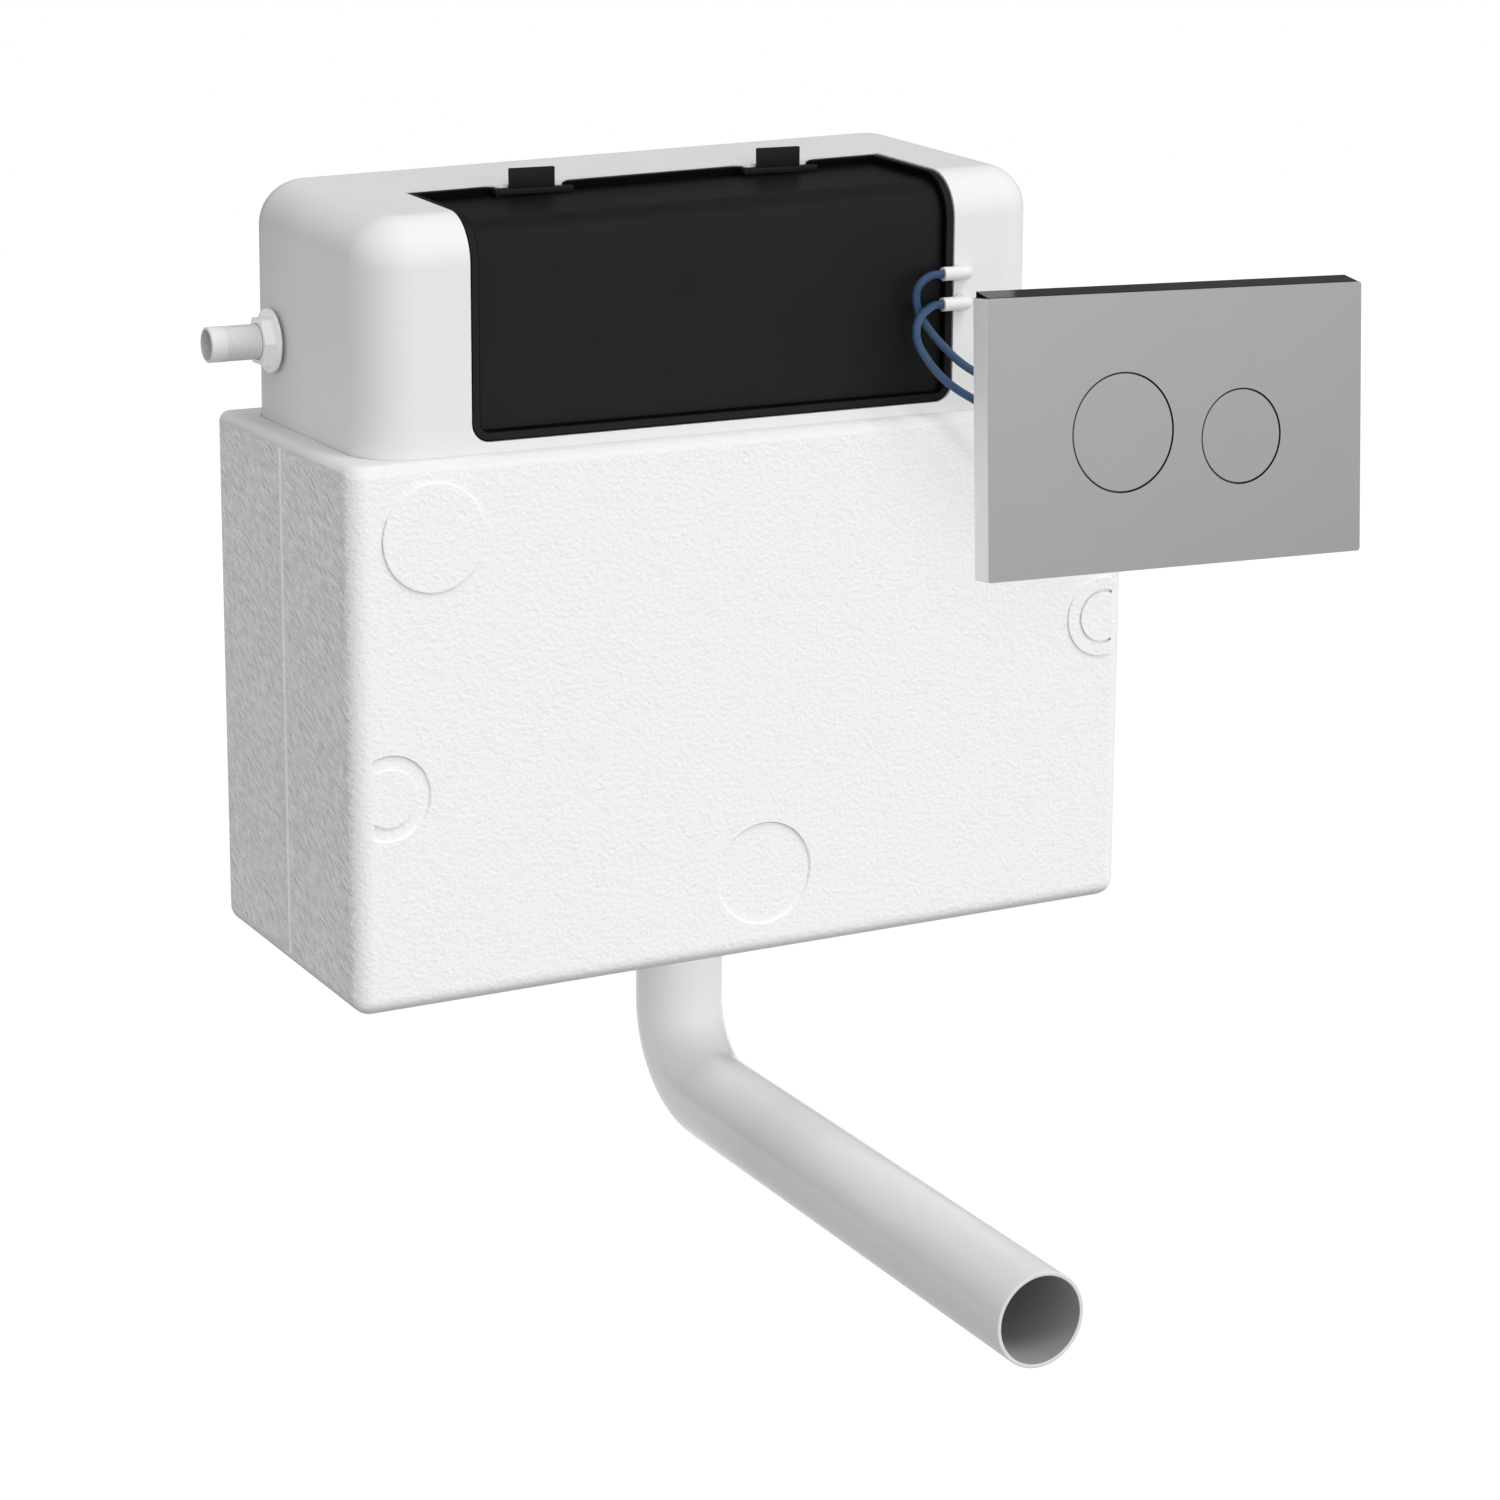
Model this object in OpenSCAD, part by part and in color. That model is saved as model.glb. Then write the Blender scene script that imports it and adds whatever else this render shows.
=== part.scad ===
// Concealed dual-flush toilet cistern: a blow-moulded tank in a two-part foam jacket,
// with a side inlet, an air-operated flush valve, a bent flush pipe and a remote flush plate.
// X runs along the width, +Y into the wall and +Z up. The origin is midway between the two
// wall fixing holes, on the wall plane. Heights in the sizes are measured from the jacket's underside.

/* [Jacket] */
// Width of the foam jacket
jacket_w = 410; // [390:5:450]
// Depth of the foam jacket, from the wall to its front
jacket_d = 164; // [154:2:190]
// Height of the foam jacket
jacket_h = 254; // [240:2:266]
// Radius of the jacket's upright and lower edges at the front
jacket_edge_r = 9; // [5:1:14]
// Radius of the jacket's edges at the wall
jacket_back_r = 1.5; // [1:0.5:5]
// Radius of the jacket's top rim
jacket_rim_r = 5; // [3:1:7]
// Foam thickness at each end
foam_side = 10.6; // [8:0.2:16]
// Foam thickness at the front
foam_front = 6.6; // [6:0.2:12]
// Foam thickness at the back
foam_back = 4.6; // [4:0.2:8]
// Foam thickness under the tank
foam_floor = 11; // [9:0.5:13]
// Gap between foam and tank
foam_gap = 0.4; // [0.2:0.1:1]
// Gap at the seam between the two foam halves
seam_gap = 0.2; // [0.1:0.1:0.6]
// Radius of the large moulded rings on the front
ring_r = 25; // [18:1:30]
// Radius of the smaller moulded rings near the ends
end_ring_r = 20; // [16:1:22]
// Radius of the inner one of the end rings
end_ring_inner_r = 13; // [9:1:14]
// Width and depth of a moulded ring's groove
ring_groove = 1; // [0.6:0.2:1.6]
// Distance of the upper ring from the jacket's left end
ring_in = 40; // [36:1:60]
// Distance of the upper ring below the jacket's top
ring_down = 34.5; // [33:0.5:50]
// Distance of the lower ring from the outlet's axis
low_ring_x = 3; // [-20:1:20]
// Height of the lower ring
low_ring_z = 40.5; // [36:0.5:60]
// Distance of the left rings' middle from the jacket's left end
left_ring_in = 17; // [15:1:20]
// Height of the left rings
left_ring_z = 102; // [90:1:120]
// Distance of the right rings' middle from the jacket's right end
right_ring_in = 14; // [13:1:20]
// Height of the right rings
right_ring_z = 146; // [120:1:170]

/* [Tank] */
// Height of the tank's top at the back
tank_h = 369.5; // [360:0.5:384]
// Fall of the tank's top from back to front
tank_top_fall = 6.5; // [3:0.5:10]
// Wall thickness of the tank
tank_wall = 3; // [2.4:0.2:4]
// Radius of the tank's upright edges
tank_corner_r = 24; // [18:1:28]
// Radius of the tank's top edges
tank_top_r = 21; // [16:1:26]
// How far the tank's upper part is set in at the right
shoulder_in = 38; // [30:1:48]
// Foam thickness over the tank's right shoulder
foam_shoulder = 16; // [12:1:24]

/* [Wall fixing] */
// Height of the wall fixing holes
fix_z = 345; // [335:1:345]
// Distance between the two wall fixing holes
fix_spacing = 180; // [150:5:190]
// Diameter of a wall fixing hole
fix_hole_d = 7; // [5:0.5:8]
// Diameter of the boss round a wall fixing hole
fix_boss_d = 18; // [14:1:22]

/* [Access cover] */
// Distance from the outlet's axis to the cover's left edge
mouth_left = 143; // [135:1:150]
// Distance from the outlet's axis to the cover's right edge
mouth_right = 107; // [104:1:112]
// Height of the cover's lower edge above the jacket
mouth_rise = 5; // [3:0.5:12]
// Depth of the cover's top part, from the tank's front
mouth_reach = 75; // [70:1:80]
// Radius of the cover's lower corners
mouth_corner_r = 9; // [6:1:14]
// Depth of the pocket that the cover sits in
pocket_depth = 7.3; // [6.8:0.1:8]
// Width of the ledge that carries the cover
ledge_w = 8; // [6:0.5:11]
// Thickness of the tank's wall behind the pocket
ledge_t = 3.6; // [2.6:0.2:4.6]
// Gap round the cover
cover_gap = 0.4; // [0.3:0.1:0.8]
// Thickness of the cover
cover_t = 2.5; // [2:0.1:2.9]
// Width of the lip round the cover
lip_w = 4.2; // [2.4:0.2:5]
// How far the lip's top lies below the tank's face
lip_drop = 0.5; // [0.3:0.1:1]

/* [Latches] */
// Distance between the two latches
latch_spacing = 130; // [110:2:140]
// Place of the latches' middle, left of the outlet's axis
latch_offset = 16.5; // [10:0.5:22]
// Width of a latch's finger tab
tab_w = 23; // [16:1:27]
// Height of a latch's finger tab above its foot
tab_h = 9; // [6:0.5:12]
// Thickness of a latch
tab_t = 2.4; // [1.8:0.2:3]
// Width of a latch's foot
foot_w = 31; // [29:1:34]
// Depth of the notch in the cover behind each latch
notch_d = 5; // [4:0.5:9]

/* [Inlet] */
// Height of the inlet's axis
inlet_z = 293; // [291:1:297]
// Distance of the inlet's axis in front of the wall
inlet_y = 43; // [40:1:48]
// Outside diameter of the inlet's thread
inlet_d = 16.66; // [16.66:0.01:16.66]
// Bore of the inlet
inlet_bore = 14.2; // [12:0.1:14.4]
// How far the inlet stands out of the tank
inlet_len = 31.6; // [28:0.2:40]
// Length of the plain nose at the inlet's tip
nose_len = 8; // [6:0.5:10]
// Pitch of the inlet's thread
thread_pitch = 1.34; // [1:0.02:1.6]
// Depth of the inlet's thread
thread_depth = 0.45; // [0.3:0.05:0.6]
// Size of the inlet nut across its flats
inlet_nut_af = 21; // [20:0.5:24]
// Length of the inlet nut's hexagon
inlet_nut_t = 5; // [4:0.5:8]
// Diameter of the inlet nut's flange
inlet_flange_d = 30; // [26:1:32]
// Thickness of the inlet nut's flange
inlet_flange_t = 2; // [1.5:0.5:3]

/* [Fill valve] */
// Distance of the fill valve's axis from the tank's left end
fill_x = 34; // [32:1:40]
// Radius of the fill valve's body
fill_r = 12; // [11:0.5:13]
// Height of the fill valve's top above the inlet's axis
fill_rise = 23; // [20:1:26]
// Radius of the fill valve's cap
fill_cap_r = 15; // [14.5:0.5:15.5]
// Height of the fill valve's cap above the body
fill_cap_h = 12; // [10:1:14]
// Outside radius of the float
float_r = 25; // [22:1:26]
// Height of the float
float_h = 40; // [30:1:48]
// Height of the float's underside at rest
float_z = 205; // [180:5:215]
// Outside radius of the drop tube
drop_r = 8; // [7:0.5:9]
// Height of the drop tube's lower end
drop_end = 40; // [30:5:80]
// Radius of the float's push rod
push_r = 2; // [1.5:0.5:2.5]
// Distance of the push rod from the fill valve's axis
push_x = 19; // [18:0.5:20]
// Running gap between moving plastic parts
slide_gap = 0.4; // [0.3:0.1:0.6]

/* [Flush valve] */
// Outside radius of the flush valve's threaded tail
tail_r = 29.8; // [28:0.2:31]
// Bore radius of the flush valve's outlet
outlet_r = 22.6; // [22.6:0.1:24]
// Radius of the flush valve's flange
base_r = 42; // [40:1:46]
// Thickness of the flush valve's flange
base_t = 4; // [3:0.5:6]
// Thickness of the rubber washer under the flange
base_seal_t = 2.5; // [2:0.5:4]
// Height of the valve seat above the flange
seat_h = 3.5; // [2:0.5:5]
// Outside radius of the valve's cage
cage_r = 36; // [34:1:39]
// Wall thickness of the cage
cage_t = 3; // [2.5:0.5:4]
// Height of the cage
cage_h = 76; // [70:2:90]
// Number of windows in the cage
cage_windows = 4; // [3:1:6]
// Outside radius of the outer plunger's sleeve
sleeve_r = 19.5; // [19:0.5:20]
// Wall thickness of the plungers' tubes
plunger_t = 2; // [1.6:0.2:2.4]
// Outside radius of the overflow tube
overflow_r = 13; // [12:0.5:13.5]
// Height of the overflow tube's lip
overflow_z = 250; // [240:1:252]
// Thickness of the rubber valve seals
valve_seal_t = 3; // [2:0.5:4]
// Gap between a closed seal and its seat
seal_gap = 0.2; // [0.1:0.1:0.3]

/* [Actuators] */
// Height of the plate that carries the actuators
head_z = 246; // [240:1:250]
// Thickness of that plate
head_t = 4; // [3:0.5:5]
// Depth of that plate from front to back
head_d = 58; // [54:1:60]
// Distance of each lever's pivot from the valve's axis
pivot_x = 62; // [58:1:66]
// Distance of each actuator from the valve's axis
actuator_x = 38; // [36:1:40]
// Radius of an actuator's bellows
actuator_r = 13; // [10:0.5:14]
// Height of the full-flush lever
full_lever_z = 289; // [288:1:290]
// Height of the half-flush lever
half_lever_z = 314; // [313:1:315]
// Thickness of a lever
lever_t = 5; // [4:0.5:6]
// Radius of a lever's pivot pin
pivot_r = 2; // [1.5:0.5:2.5]
// Running gap between a pivot pin and its lever
pin_gap = 0.1; // [0.05:0.01:0.1]

/* [Flush pipe] */
// Outside diameter of the flush pipe
pipe_d = 43; // [40:0.5:44]
// Wall thickness of the flush pipe
pipe_t = 1.9; // [1.6:0.1:2.6]
// Radius of the bend's centre line
pipe_bend_r = 40; // [34:1:50]
// Depth of the horizontal run's axis below the jacket
pipe_drop = 86; // [80:1:110]
// Reach of the pipe's end in front of the wall
pipe_reach = 417; // [350:1:450]
// How far the pipe goes up into the valve's tail
pipe_insert = 14; // [8:1:18]
// Length of the flush pipe's nut
pipe_nut_h = 16; // [14:1:18]
// Wall thickness of the flush pipe's nut
pipe_nut_t = 6; // [4:0.5:8]

/* [Air tubes] */
// Outside diameter of an air tube
tube_d = 4; // [3.6:0.1:4.4]
// Distance of the elbows from the cover's right edge
elbow_x = 4; // [3.6:0.2:5]
// Height of the full-flush elbow
elbow_z = 321; // [321:1:321]
// Distance between the two elbows
elbow_spacing = 14.5; // [14.5:0.5:14.5]
// Radius of an elbow
elbow_r = 3.3; // [3:0.1:3.6]
// How far an elbow's arm lies in front of the tank
elbow_out = 4.2; // [4:0.1:4.6]
// Length of an elbow's arm
elbow_arm = 12.8; // [12.8:0.1:12.8]

/* [Flush plate] */
// Width of the flush plate
plate_w = 215; // [200:1:240]
// Height of the flush plate
plate_h = 132.5; // [120:0.5:160]
// Thickness of the flush plate
plate_t = 12; // [10:0.5:16]
// Wall thickness of the flush plate's face
plate_wall = 2; // [1.5:0.5:3]
// Radius of the flush plate's corners
plate_corner_r = 1.5; // [1:0.5:4]
// Place of the flush plate's left edge
plate_left = 92.5; // [88:0.5:98]
// Height of the flush plate's middle
plate_z = 247; // [240:1:254]
// Distance of the flush plate's face in front of the jacket
plate_stand = 49; // [46:0.5:56]
// Turn of the hanging plate in its own plane, in degrees
plate_roll = 1.4; // [0:0.1:3]
// Lean of the hanging plate's top towards the wall, in degrees
plate_lean = 4.9; // [0:0.1:6]
// Place of the large button from the plate's left edge
full_button_x = 75.5; // [70:0.5:80]
// Place of the small button from the plate's left edge
half_button_x = 143.5; // [140:0.5:150]
// How far the small button sits below the plate's middle
half_button_drop = 5.5; // [0:0.5:12]
// Diameter of the large button
full_button_d = 56; // [50:1:60]
// Diameter of the small button
half_button_d = 45; // [40:1:50]
// Gap round a button
button_gap = 0.6; // [0.4:0.1:0.8]
// Depth of the air pumps behind the plate
housing_d = 26; // [24:1:28]
// Outside radius of the large button's air pump
full_pump_r = 24; // [22:0.5:25]
// Outside radius of the small button's air pump
half_pump_r = 20; // [19:0.5:21]
// Thickness of the plate's rear frame
frame_t = 3; // [2.5:0.5:4]
// Wall thickness of an air pump
housing_t = 2; // [1.6:0.2:2.6]
// Diameter of a frame screw
screw_d = 3; // [2.5:0.5:4]
// Height of a frame screw's sunk head
screw_head_t = 1.4; // [1:0.1:1.6]

/* [Hidden] */
$fn = 64;

// Tank outline, worked out from the jacket and its foam
tank_back = -(foam_back + foam_gap);
tank_front = -(jacket_d - foam_front - foam_gap);
tank_half = jacket_w / 2 - foam_side - foam_gap;
tank_right = tank_half - shoulder_in;
tank_depth = tank_back - tank_front;
shoulder_z = jacket_h - foam_shoulder;
fall_angle = atan(tank_top_fall / tank_depth);
seam_y = -jacket_d / 2;
frame_depth = pocket_depth + ledge_t;

// Cover and latches
mouth_z = jacket_h + mouth_rise;
mouth_back = tank_front + mouth_reach;
ledge_gap = 0.3;
cover_top = pocket_depth - ledge_gap - cover_t;
latch_x = [for (s = [-1, 1]) s * latch_spacing / 2 - latch_offset];
notch_front = mouth_back - notch_d;
latch_gap = 0.3;
foot_t = 3;
foot_d = 5;
latch_lift = 0.2;

// Clearances of the fittings in the tank and of the nuts on their threads
inlet_gap = 0.3;
tail_gap = 0.5;
inlet_nut_gap = 0.1;
nut_gap = 0.2;

// Axes of the flush valve and the fill valve
valve_y = (tank_front + tank_back) / 2;
fill_axis = -tank_half + fill_x;
inner_floor = foam_floor + tank_wall;

// Fill valve: washer and collar inside the tank, body, bores, lever and pin
inlet_seal_t = 2;
inlet_collar_r = 13;
inlet_collar_t = 3;
arm_r = 6.4;
arm_bore = 3.6;
spout_r = 5;
stem_tube_r = 4.6;
stem_bore = 2.6;
fill_below = 16;
fill_wall = 2.4;
fill_seat_z = inlet_z + fill_rise;
diaphragm_t = 2;
cap_skirt = 10;
vent_r = 1.6;
guide_low = 12;
guide_t = 4;
guide_half = 4;
fill_pivot_x = 8;
fill_pivot_z = fill_seat_z + fill_cap_h + 6;
fill_lever_t = 3.5;
fill_lever_half = 3;
fill_lug_t = 3.2;
fill_lug_y = 5;
stop_t = 4.6;

// Levels of the flush valve, from the tank's floor up
flange_z = inner_floor + base_seal_t;
seat_z = flange_z + base_t + seat_h;
cage_z = flange_z + base_t;
plunger_z = seat_z + seal_gap + valve_seal_t;
plunger_disc = 3;
inner_seat_h = 1.6;
half_seal_z = plunger_z + plunger_disc + inner_seat_h + seal_gap;
overflow_foot = half_seal_z + valve_seal_t;
sleeve_top = overflow_z - 14;
tail_end = -8;
seat_w = 4.4;
back_nut_h = 10;
grip_r = 3.6;
sleeve_gap = 0.7;
window_half = 13;
plunger_hole = outlet_r - 11.1;
plunger_rim = cage_r - cage_t - 4;
port_z = 7;
port_h = 26;
port_half = 6;
overflow_flange = 2.5;
cross_low = 10;

// Actuators, levers and the rings that the levers lift
lever_gap = 0.5;
full_ring_z = full_lever_z + lever_t / 2 + lever_gap;
half_ring_z = half_lever_z + lever_t / 2 + lever_gap;
full_nub_z = full_lever_z - lever_t / 2 - lever_gap;
half_nub_z = half_lever_z - lever_t / 2 - lever_gap;
full_ring_t = 4;
half_ring_t = 3.6;
full_ring_hole = 9;
half_ring_r = 8.5;
tube_gap = 0.6;
stem_r = 3.5;
fork_gap = stem_r + 1;
fork_half = 11;
fork_d = 15;
fork_slot = 9;
lever_half = 8;
lug_y = lever_half + 2;
lug_t = 3.2;
lug_half = 5;
post_half = [3, 6];
head_hole_r = sleeve_r + 4.5;
cap_t = 3;
nub_h = 7;
nub_r = 2.5;
actuator_foot = 9;
half_foot = half_lever_z - full_lever_z + actuator_foot;
nipple_r = 2.6;
nipple_bore = 1.2;
nipple_z = 255;
nipple_y = -105.6;

// Flush pipe's seal, and how far its nut goes up the valve's tail
pipe_seal_t = 4;
pipe_nut_grip = 8.5;

// Flush plate
plate_y = -jacket_d - plate_stand;
plate_back = plate_y + plate_t;
plate_mid = plate_left + plate_w / 2;
full_x = full_button_x - plate_w / 2;
half_x = half_button_x - plate_w / 2;
button_t = 4;
button_stem_r = 4;
pump_front = plate_back + frame_t;
screw_seat = pump_front - screw_head_t - 0.1;
piston_t = 6;
boss_inset = 12;
boss_r = 4;
frame_inset = 4;
frame_hole_gap = 0.2;
pump_lap = 1;
button_rim = 2;
piston_wall = 2;
screw_gap = 0.1;
slot_w = 0.8;
slot_d = 0.5;

// Nipples of the two air pumps: their places from the pumps' middles
nipple_out = 4;
nipple_behind = 12;
full_nipple_up = 15;
half_nipple_up = -9.5;

// Points on the centre lines of the air tubes, chosen by hand
elbow_tip = mouth_right + elbow_x - elbow_arm;
TUBE_FULL = [[98.2, -161.2, 321], [94.5, -161.2, 321], [91, -161.3, 320.5], [88, -161.5, 319],
    [85.7, -161.4, 317], [84.3, -161, 314.3], [84, -160.7, 311.3], [84.4, -160.5, 308.2], [85.2, -160.5, 305.2],
    [86.3, -160.8, 302.2], [88, -161.7, 298.8], [89.8, -163.5, 295.3], [92.5, -166, 291], [95.6, -169.2, 286.6],
    [98.2, -171.6, 283.4],
    [100.8, -174, 280.6], [103.6, -176.5, 278.1], [107, -179, 275.6], [113, -182, 271.2], [120, -184, 266.6],
    [126.5, -184.7, 262.9], [133.33, -184.82, 261.27], [140.33, -184.82, 261.1]];
TUBE_HALF = [[98.2, -161.2, 306.5], [94.5, -161.2, 306.5], [91.4, -163, 306.2], [87.4, -165.4, 305.2],
    [82.4, -168.2, 303.2],
    [78.8, -171.2, 300.6], [76.8, -173.4, 297.4], [76, -175.2, 294], [76.2, -176.8, 291], [77.2, -178.2, 288],
    [78.8, -179.4, 285], [80.8, -180.4, 281.8], [84, -181.6, 277.8], [87.6, -182.6, 274.2], [91.6, -183.4, 271],
    [96, -184, 268], [103.4, -185, 263.4], [110, -185.6, 258.4], [116, -186, 252.4], [122, -186, 245.6],
    [128, -186, 238.6], [134, -186, 231.8], [141, -186, 225], [149, -186, 219], [158, -186, 215],
    [168, -186.2, 212.6], [178, -186.5, 213], [187, -186.9, 216.4], [194.5, -187.2, 221.6],
    [199.8, -187.36, 226.8], [205.58, -187.38, 229.61], [211.58, -187.38, 229.46]];
INNER_FULL = [[111, -139.4, 321], [111, -134, 321], [109, -128, 320], [103, -121.6, 316], [95, -117, 308],
    [84, -115, 294], [72, -114.6, 280], [60, -114.6, 268], [50, -113.6, 259.6], [42, -112.4, 256],
    [38, -110, 255], [38, -105.6, 255]];
INNER_HALF = [[111, -139.4, 306.5], [111, -135, 306.5], [108, -130.4, 305.4], [101, -127, 302],
    [88, -125, 293.6], [70, -124.6, 283], [48, -124.6, 274], [24, -124.6, 268.6], [0, -124.6, 266],
    [-16, -123, 262.4], [-28, -119, 258], [-36, -114.6, 255.6], [-38, -110, 255], [-38, -105.6, 255]];

// Helpers
function arc(c, r, a, b, n = 6) = [for (i = [0:n]) c + r * [cos(a + (b - a) * i / n), sin(a + (b - a) * i / n)]];
function rounded(x0, x1, y0, y1, r) = concat(arc([x1 - r, y1 - r], r, 0, 90), arc([x0 + r, y1 - r], r, 90, 180),
    arc([x0 + r, y0 + r], r, 180, 270), arc([x1 - r, y0 + r], r, 270, 360));
function top_at(y) = tank_h + (y - tank_back) * tan(fall_angle);
function unit(v) = v / norm(v);
function tangent(p, i) = unit(p[min(i + 1, len(p) - 1)] - p[max(i - 1, 0)]);

// Puts a piece's heights, measured from the jacket's underside, in place below the wall fixing
module hung() {
    translate([0, 0, -fix_z]) children();
}

// Box between two corners
module block(lo, hi) {
    translate(lo) cube(hi - lo);
}

// Upright ring on the flush valve's axis between two heights
module ring(r_in, r_out, z0, z1) {
    translate([0, valve_y, z0]) difference() {
        cylinder(h = z1 - z0, r = r_out);
        translate([0, 0, -1]) cylinder(h = z1 - z0 + 2, r = r_in);
    }
}

// Upright bar on the flush valve's axis between two heights
module valve_bar(z0, z1, r) {
    translate([0, valve_y, z0]) cylinder(h = z1 - z0, r = r);
}

// Cylinder along Y from y0 to y1
module rod_y(x, z, r, y0, y1) {
    translate([x, y1, z]) rotate([90, 0, 0]) cylinder(h = y1 - y0, r = r);
}

// Prism along X of an outline given in Y and Z
module prism_x(points, x0, x1) {
    translate([x0, 0, 0]) rotate([90, 0, 90]) linear_extrude(height = x1 - x0) polygon(points);
}

// Prism along Y of an outline given in X and Z
module prism_y(points, y0, y1) {
    translate([0, y1, 0]) rotate([90, 0, 0]) linear_extrude(height = y1 - y0) polygon(points);
}

// Round tube of short straight pieces along a list of points; up is never along the tube
module swept(points, d, up, sides = 8) {
    n = len(points);
    pts = [for (i = [0:n - 1]) let(t = tangent(points, i), u = unit(cross(t, up)), v = cross(t, u))
        for (k = [0:sides - 1]) points[i] + d / 2 * (cos(360 * k / sides) * u + sin(360 * k / sides) * v)];
    walls = [for (i = [0:n - 2]) for (k = [0:sides - 1]) let(a = i * sides + k, b = i * sides + (k + 1) % sides)
        each [[a, b, b + sides], [a, b + sides, a + sides]]];
    ends = [[for (k = [sides - 1:-1:0]) k], [for (k = [0:sides - 1]) (n - 1) * sides + k]];
    polyhedron(points = pts, faces = [for (f = concat(walls, ends)) [for (j = [len(f) - 1:-1:0]) f[j]]]);
}

// Upper part of the tank's outline, set in from its outer face by inset
module tank_upper(inset) {
    r = tank_top_r;
    front_c = [tank_front + r, top_at(tank_front + r) - r / cos(fall_angle)];
    back_c = [tank_back - r, top_at(tank_back - r) - r / cos(fall_angle)];
    low = foam_floor + inset;
    intersection() {
        translate([0, 0, low]) linear_extrude(height = tank_h)
            polygon(rounded(-tank_half + inset, tank_right - inset, tank_front + inset, tank_back - inset,
                tank_corner_r - inset));
        prism_x(concat([[tank_front + inset, low - 1]], arc(front_c, r - inset, 180, 90 + fall_angle),
            arc(back_c, r - inset, 90 + fall_angle, 0), [[tank_back - inset, low - 1]]),
            -tank_half - 1, tank_half + 1);
        translate([0, tank_back, tank_h]) rotate([fall_angle, 0, 0])
            prism_y(concat([[-tank_half + inset, -2 * tank_h]], arc([-tank_half + r, -r], r - inset, 180, 90),
                arc([tank_right - r, -r], r - inset, 90, 0), [[tank_right - inset, -2 * tank_h]]),
                -2 * tank_depth, tank_depth);
    }
}

// Whole tank outline: the wide lower part in the jacket and the narrower upper part
module tank_form(inset) {
    tank_upper(inset);
    translate([0, 0, foam_floor + inset]) linear_extrude(height = shoulder_z - foam_floor - 2 * inset)
        polygon(rounded(-tank_half + inset, tank_half - inset, tank_front + inset, tank_back - inset,
            tank_corner_r - inset));
}

// Space of the access opening over the tank's front top edge, set in by inset
module mouth(inset) {
    deep = 26;
    r = mouth_corner_r;
    back = mouth_back - inset;
    step_z = tank_h - tank_top_fall - deep;
    over = tank_h + deep;
    intersection() {
        prism_y(concat([[-mouth_left + inset, over]],
            arc([-mouth_left + r + inset, mouth_z + r + inset], r, 180, 270),
            arc([mouth_right - r - inset, mouth_z + r + inset], r, 270, 360), [[mouth_right - inset, over]]),
            tank_front - deep, tank_back);
        prism_x([[tank_front - deep, mouth_z - ledge_w - 1], [tank_front + deep, mouth_z - ledge_w - 1],
            [tank_front + deep, step_z], [back, step_z], [back, over], [tank_front - deep, over]],
            -mouth_left - ledge_w - 1, mouth_right + ledge_w + 1);
    }
}

// The two tongues of the tank's top that fill the notches behind the latches
module tongues(grow) {
    for (x = latch_x) translate([x, 0, tank_h - tank_top_fall - 20]) linear_extrude(height = 60)
        polygon([[-foot_w / 2 - 7 - grow, mouth_back + 1], [-foot_w / 2 - grow, notch_front - grow],
            [foot_w / 2 + grow, notch_front - grow], [foot_w / 2 + 7 + grow, mouth_back + 1]]);
}

// Whole foam jacket before it is split and hollowed
module jacket_form() {
    r = jacket_edge_r;
    q = jacket_rim_r;
    b = jacket_back_r;
    h = jacket_w / 2;
    intersection() {
        linear_extrude(height = jacket_h) polygon(concat(arc([h - b, -b], b, 0, 90), arc([-h + b, -b], b, 90, 180),
            arc([-h + r, -jacket_d + r], r, 180, 270), arc([h - r, -jacket_d + r], r, 270, 360)));
        prism_x(concat(arc([-jacket_d + r, r], r, 270, 180), arc([-jacket_d + q, jacket_h - q], q, 180, 90),
            arc([-b, jacket_h - b], b, 90, 0), arc([-b, b], b, 0, -90)), -h - 1, h + 1);
        prism_y(concat(arc([-h + r, r], r, 270, 180), arc([-h + q, jacket_h - q], q, 180, 90),
            arc([h - q, jacket_h - q], q, 90, 0), arc([h - r, r], r, 0, -90)), -jacket_d - 1, 1);
    }
}

// Room for the tank in the jacket, and the hole round the outlet
module jacket_room() {
    difference() {
        tank_form(-foam_gap);
        block([-jacket_w, -2 * jacket_d, -1], [jacket_w, jacket_d, foam_floor]);
    }
    valve_bar(-1, foam_floor + 1, base_r + 4);
}

// Ring-shaped groove on the jacket's front
module ring_mark(x, z, r) {
    difference() {
        rod_y(x, z, r, -jacket_d - 1, -jacket_d + ring_groove);
        rod_y(x, z, r - ring_groove, -jacket_d - 2, -jacket_d + ring_groove + 1);
    }
}

module jacket_front() {
    color("whitesmoke") hung() difference() {
        jacket_form();
        jacket_room();
        block([-jacket_w, seam_y - seam_gap / 2, -1], [jacket_w, 1, jacket_h + 1]);
        ring_mark(-jacket_w / 2 + ring_in, jacket_h - ring_down, ring_r);
        ring_mark(low_ring_x, low_ring_z, ring_r);
        intersection() {
            for (r = [end_ring_r, end_ring_inner_r]) {
                ring_mark(-jacket_w / 2 + left_ring_in, left_ring_z, r);
                ring_mark(jacket_w / 2 - right_ring_in, right_ring_z, r);
            }
            block([-jacket_w / 2 + jacket_edge_r, -jacket_d - 3, 0],
                [jacket_w / 2 - jacket_edge_r, 0, jacket_h]);
        }
    }
}

module jacket_back() {
    color("whitesmoke") hung() difference() {
        jacket_form();
        jacket_room();
        block([-jacket_w, -jacket_d - 1, -1], [jacket_w, seam_y + seam_gap / 2, jacket_h + 1]);
    }
}

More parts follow.
